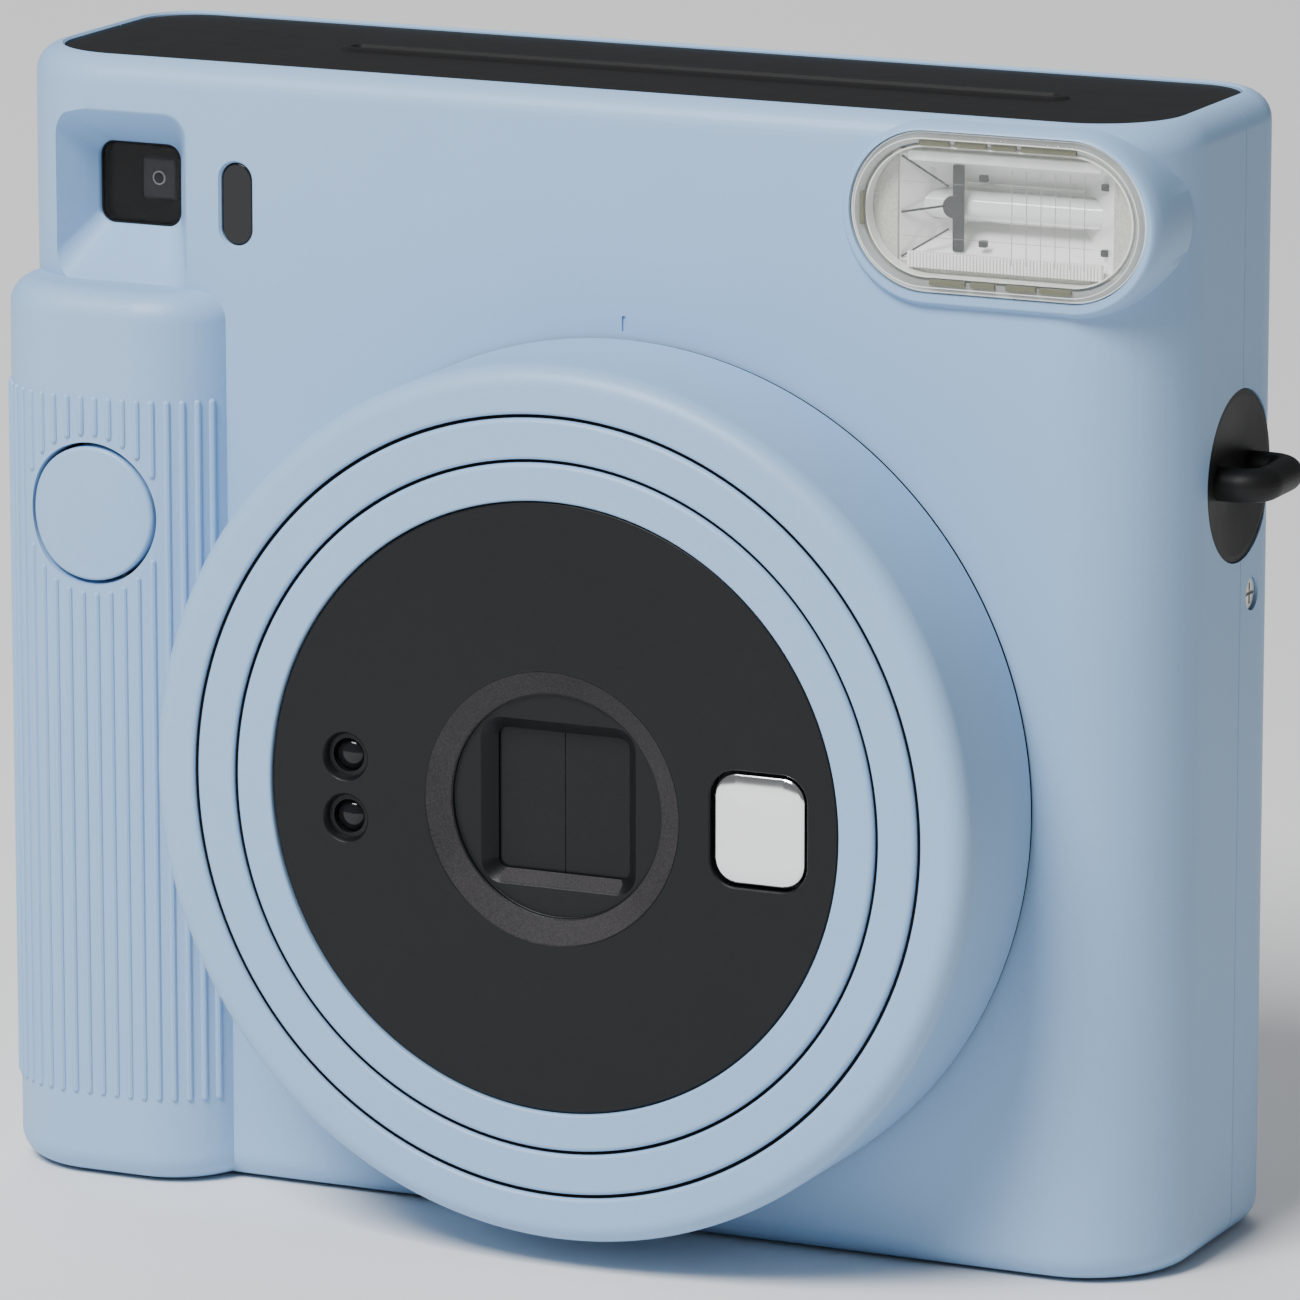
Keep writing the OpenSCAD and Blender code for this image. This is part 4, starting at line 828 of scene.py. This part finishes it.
rim = 0.4
cap_r = button_r - 0.02
cap_rings = [button_ring(0.02 + (cap_r - rim) * k / 8, 0) for k in range(9)]
cap_rings += [button_ring(cap_r - rim + rim * sin(radians(a)), rim - rim * cos(radians(a)))
              for a in (22, 45, 68, 90)]
button_back = grip_y + 3.4
cap_rings.append([(x, button_back, z) for x, y, z in cap_rings[-1]])
cap = loft("release_button_cap", cap_rings)
foot = [rod_y(button_x, button_z, button_r - 1.2, 16,
              [(button_back - 0.5, 0), (button_back + 1.2, 0)]),
        rod_y(button_x, button_z, 1, 8, [(button_back + 1, 0), (-17.6, 0)]),
        block(button_x - 2.5, button_back + 0.1, button_z - 9.4, button_x + 2.5,
              button_back + 1.2, button_z + 9.4)]
combine(cap, foot, "UNION")
finish_piece(cap, pale_blue, "shutter_button", ["shutter_button"])

# ---- Film door ----
# Thick door over the film chamber, in the body's blue, with rounded edges. It swings on a
# steel pin at the flash side and has a window on the film pack and an eye on the counter.
door_in_y, door_out_y = rear_y - wall, rear_y + 3.3


def soft_back(y0, y1, e):
    """Levels of a plate with a rounded back edge."""
    turns = [pi / 10 * i for i in range(6)]
    return [(y0, 0)] + [(y1 - e + e * sin(a), -e + e * cos(a)) for a in turns]


def web(at, reach_x, spans, y0, y1):
    """Arms from a door to its hinge knuckles."""
    return [block(min(at[0], reach_x), y0, a, max(at[0], reach_x), y1, b) for a, b in spans]


door = slab("film_door_panel", *door_box, 4, soft_back(door_in_y, door_out_y, 1.5), 14)
window_box = (-17, 48, -11, 72)
eye_x, eye_z = 40, 25.7
wheel_z = 22
combine(door, [
    slab("window_cut", *window_box, 2.9, [(door_in_y - 1, 0), (door_out_y - 0.5, 0),
                                          (door_out_y, 0.4), (door_out_y + 1, 1.4)]),
    rod_y(eye_x, eye_z, 1.8, 12, [(door_in_y - 1, 0), (door_out_y - 0.4, 0),
                                  (door_out_y, 0.35), (door_out_y + 1, 1.35)]),
    rod_y(eye_x, wheel_z, 6.3, 20, [(door_in_y - 1, 0), (door_in_y + 2, 0)]),
    slab("door_hollow", window_box[0] + 8, 38, 41.2, 98, 3, [(door_in_y - 1, 0),
                                                              (door_in_y + 2.6, 0)])])
combine(door, [rod_z(*door_hinge, door_knuckle_r, a, b) for a, b in door_spans], "UNION")
combine(door, web(door_hinge, door_box[2] - 2, door_spans, door_hinge[1] - 0.4,
                  door_hinge[1] + 1.6), "UNION")
combine(door, [rod_z(*door_hinge, 0.85, a - 1, b + 1) for a, b in door_spans])
finish_piece(door, pale_blue, "film_door", ["film_door"])

amber_dark = moulded_plastic("Dark amber window", (0.035, 0.022, 0.008), 0.12, 1.5, 0.002)
film_pane = slab("film_window_pane", *window_box, 2.9, [(door_in_y + 2, -0.08),
                                                        (door_out_y - 0.55, -0.08),
                                                        (door_out_y - 0.4, -0.25)], 12)
finish_piece(film_pane, amber_dark, "film_door", ["film_window"])


def clear_plastic(name, colour, roughness, ior=1.49):
    """Clear moulded plastic with a faint unevenness in its polish."""
    made = moulded_plastic(name, colour, roughness, 2.5, 0.004, speckle=0.01)
    shader = made.node_tree.nodes["Principled BSDF"]
    shader.inputs["Transmission Weight"].default_value = 1.0
    shader.inputs["IOR"].default_value = ior
    return made


eye_clear = clear_plastic("Clear eye plastic", (0.9, 0.92, 0.92), 0.03)
eye_pane = rod_y(eye_x, eye_z, 1.72, 12,
                 [(door_in_y + 3, 0), (door_out_y - 0.55, 0), (door_out_y - 0.4, -0.15)])
finish_piece(eye_pane, eye_clear, "film_door", ["counter_window"])

# ---- Door latch ----
# Black moulded slide beside the film door, ribbed for the thumb. It runs in a slot of the
# rear cover on a longer foot inside, and pushed up it frees the door.
latch = slab("door_latch_slide", -38.5, 54, -35.5, 66, 0.9,
             soft_back(rear_y - wall - 0.9, rear_y + 2.6, 0.5), 6)
combine(latch, [block(-39.5, rear_y + 2.1, z - 0.3, -34.5, rear_y + 4, z + 0.3)
                for z in (56, 58, 60, 62, 64)])
combine(latch, [block(-38.5, rear_y - wall - 2.1, 52, -35.5, rear_y - wall - 0.89, 66)], "UNION")
finish_piece(latch, black_grain, "door_latch", ["door_latch"])

# ---- Battery door ----
# Narrow door behind the grip, moulded in the body's blue. It swings on a thin steel pin and
# has five ridges to push it open by.
bay_door = slab("battery_door_panel", *bay_box, 1.5, soft_back(rear_y - wall, rear_y + 0.9, 0.6))
combine(bay_door, [rod_z(*bay_hinge, bay_knuckle_r, a, b) for a, b in bay_spans], "UNION")
combine(bay_door, web(bay_hinge, bay_box[0] + 1, bay_spans, bay_hinge[1], bay_hinge[1] + 1.2),
        "UNION")
combine(bay_door, [rod_z(*bay_hinge, 0.65, a - 1, b + 1) for a, b in bay_spans])
ridge_pitch = 1.6
ridges = [slab("ridge", -48.8, 14.2 + ridge_pitch * k, -42.8, 14.8 + ridge_pitch * k, 0.28,
               soft_back(rear_y, rear_y + 1.3, 0.25), 4) for k in range(5)]
combine(bay_door, [joined("ridges", ridges)], "UNION")
finish_piece(bay_door, pale_blue, "battery_door", ["battery_door"])

# ---- Eyepiece ----
# Black rounded moulding at the rear end of the viewfinder, with a small smoked pane. A plug
# on its inner side holds it in the rear cover.
eyepiece = slab("eyepiece_block", *around(*finder_mid, 7.4, 6.4), 3,
                soft_back(rear_y, rear_y + 2.6, 0.9), 12)
combine(eyepiece, [slab("plug", *drawn_in(finder_hole, -1.4), 1.9,
                        [(rear_y - wall - 1, 0), (rear_y + 0.1, 0)])], "UNION")
combine(eyepiece, [
    slab("pane_cut", *around(*finder_mid, 3.6, 3), 1.2,
         [(rear_y + 0.8, -0.3), (rear_y + 2.2, 0), (rear_y + 2.6, 0.35), (rear_y + 4, 1.7)]),
    rod_y(*finder_mid, 2.4, 16, [(rear_y - wall - 3, 0), (rear_y - 0.6, 0)])])
eye_glass = slab("eyepiece_pane", *around(*finder_mid, 3.2, 2.6), 1.0,
                 [(rear_y + 0.85, 0), (rear_y + 1.1, 0), (rear_y + 1.25, -0.2)])
finish_piece(eyepiece, black_grain, "camera_body", ["viewfinder_eyepiece"])
finish_piece(eye_glass, dark_gloss, "camera_body")

# ---- Strap lugs, screws and the works inside ----
# These keep their CAD shapes and take a finish each: moulded black plastic, steel, brass,
# rubber, ivory gear plastic, lacquered board, foam and the wraps of the cells.
steel = plain_metal("Bright steel", (0.62, 0.62, 0.61), 0.28, 1.0, 0.5, 0.06, 0.006)
brass = plain_metal("Turned brass", (0.72, 0.52, 0.23), 0.3, 1.0, 0.4, 0.06, 0.006)
copper_wire = plain_metal("Wound copper", (0.62, 0.29, 0.13), 0.38, 1.0, 0.3, 0.2, 0.03)
rubber = moulded_plastic("Black rubber", (0.03, 0.03, 0.03), 0.75, 0.4, 0.05)
ivory = moulded_plastic("Ivory gear plastic", (0.74, 0.70, 0.58), 0.4, 0.8, 0.008)
board_green = moulded_plastic("Lacquered board", (0.015, 0.12, 0.05), 0.25, 1.2, 0.01,
                              speckle=0.2)
cell_wrap = moulded_plastic("Cell wrap", (0.23, 0.13, 0.05), 0.22, 3, 0.004, speckle=0.08)
sleeve = moulded_plastic("Capacitor sleeve", (0.02, 0.035, 0.07), 0.25, 2, 0.004)
foam = moulded_plastic("Black foam", (0.015, 0.015, 0.015), 0.9, 0.35, 0.12, speckle=0.4)
lens_glass = clear_plastic("Lens glass", (0.93, 0.97, 0.98), 0.01, 1.6)

finishes = {
    "black_plastic": black_grain, "lens_black": lens_black, "steel": steel, "brass": brass,
    "coil_copper": copper_wire, "roller_rubber": rubber, "gear_plastic": ivory,
    "board_green": board_green, "cell_wrap": cell_wrap, "capacitor_wrap": sleeve, "foam": foam,
    "lens_glass": lens_glass, "body_plastic": pale_blue, "dark_window": dark_gloss,
    "clear_plastic": flash_clear, "reflector_metal": reflector_white,
    "mirror_silver": silvered}
for part in frame["record"]["subparts"]:
    node = nodes[part["node"]]
    for seat in node.material_slots:
        seat.material = finishes[part["material_slot"]]
    smooth = node.modifiers.new("Flat faces", "WEIGHTED_NORMAL")
    smooth.keep_sharp = True
blackened = plain_metal("Blackened steel", (0.03, 0.03, 0.032), 0.45, 0.6, 0.5, 0.1)
nodes["shutter_blade"].material_slots[0].material = blackened

# ---- Table, light and camera ----
# Pale table top under a faint even sky. A soft key stands high in front, a little to the
# grip side, so that the flash side stays in shade, and a wash lights the table behind.
stage_mesh = bpy.data.meshes.new("table_top")
reach, table_z = 3.0, -0.0002
stage_mesh.from_pydata([(-reach, -reach, table_z), (reach, -reach, table_z),
                        (reach, reach, table_z), (-reach, reach, table_z)], [], [(0, 1, 2, 3)])
table_top = bpy.data.objects.new("table_top", stage_mesh)
bpy.context.scene.collection.objects.link(table_top)
table_white = moulded_plastic("Pale table", (0.86, 0.86, 0.86), 0.6, 2, 0.01, speckle=0.005)
stage_mesh.materials.append(table_white)

world = bpy.data.worlds.new("Studio")
bpy.context.scene.world = world
world.use_nodes = True
world.node_tree.nodes["Background"].inputs["Color"].default_value = (0.95, 0.97, 1.0, 1)
world.node_tree.nodes["Background"].inputs["Strength"].default_value = 0.18


def soft_light(name, place, facing, size, power):
    """Square area light that faces a point."""
    data = bpy.data.lights.new(name, "AREA")
    data.size = size
    data.energy = power
    lamp = bpy.data.objects.new(name, data)
    lamp.location = place
    lamp.rotation_euler = (Vector(facing) - Vector(place)).to_track_quat("-Z", "Y").to_euler()
    bpy.context.scene.collection.objects.link(lamp)
    return lamp


middle_point = (0, 0, 0.06)
soft_light("key", (-0.18, -0.78, 1.02), middle_point, 0.5, 24.5)
wash = soft_light("back wash", (-0.5, 0.9, 0.9), (-0.5, 0.7, 0), 0.8, 7)
wash.visible_glossy = False

camera = bpy.data.objects.new("camera", bpy.data.cameras.new("camera"))
bpy.context.scene.collection.objects.link(camera)
bpy.context.scene.camera = camera
camera_place = Vector((0.39064, -0.84282, 0.26267))
azimuth, elevation = radians(24.8), radians(12.48)
aim = Vector((-sin(azimuth) * cos(elevation), cos(azimuth) * cos(elevation), -sin(elevation)))
right = Vector((cos(azimuth), sin(azimuth), 0))
turn = Matrix((right, right.cross(aim), -aim)).transposed()
camera.matrix_world = Matrix.Translation(camera_place) @ turn.to_4x4()
camera.data.lens = 252.8
camera.data.sensor_width = 36
camera.data.clip_start = 0.05
camera.data.clip_end = 20
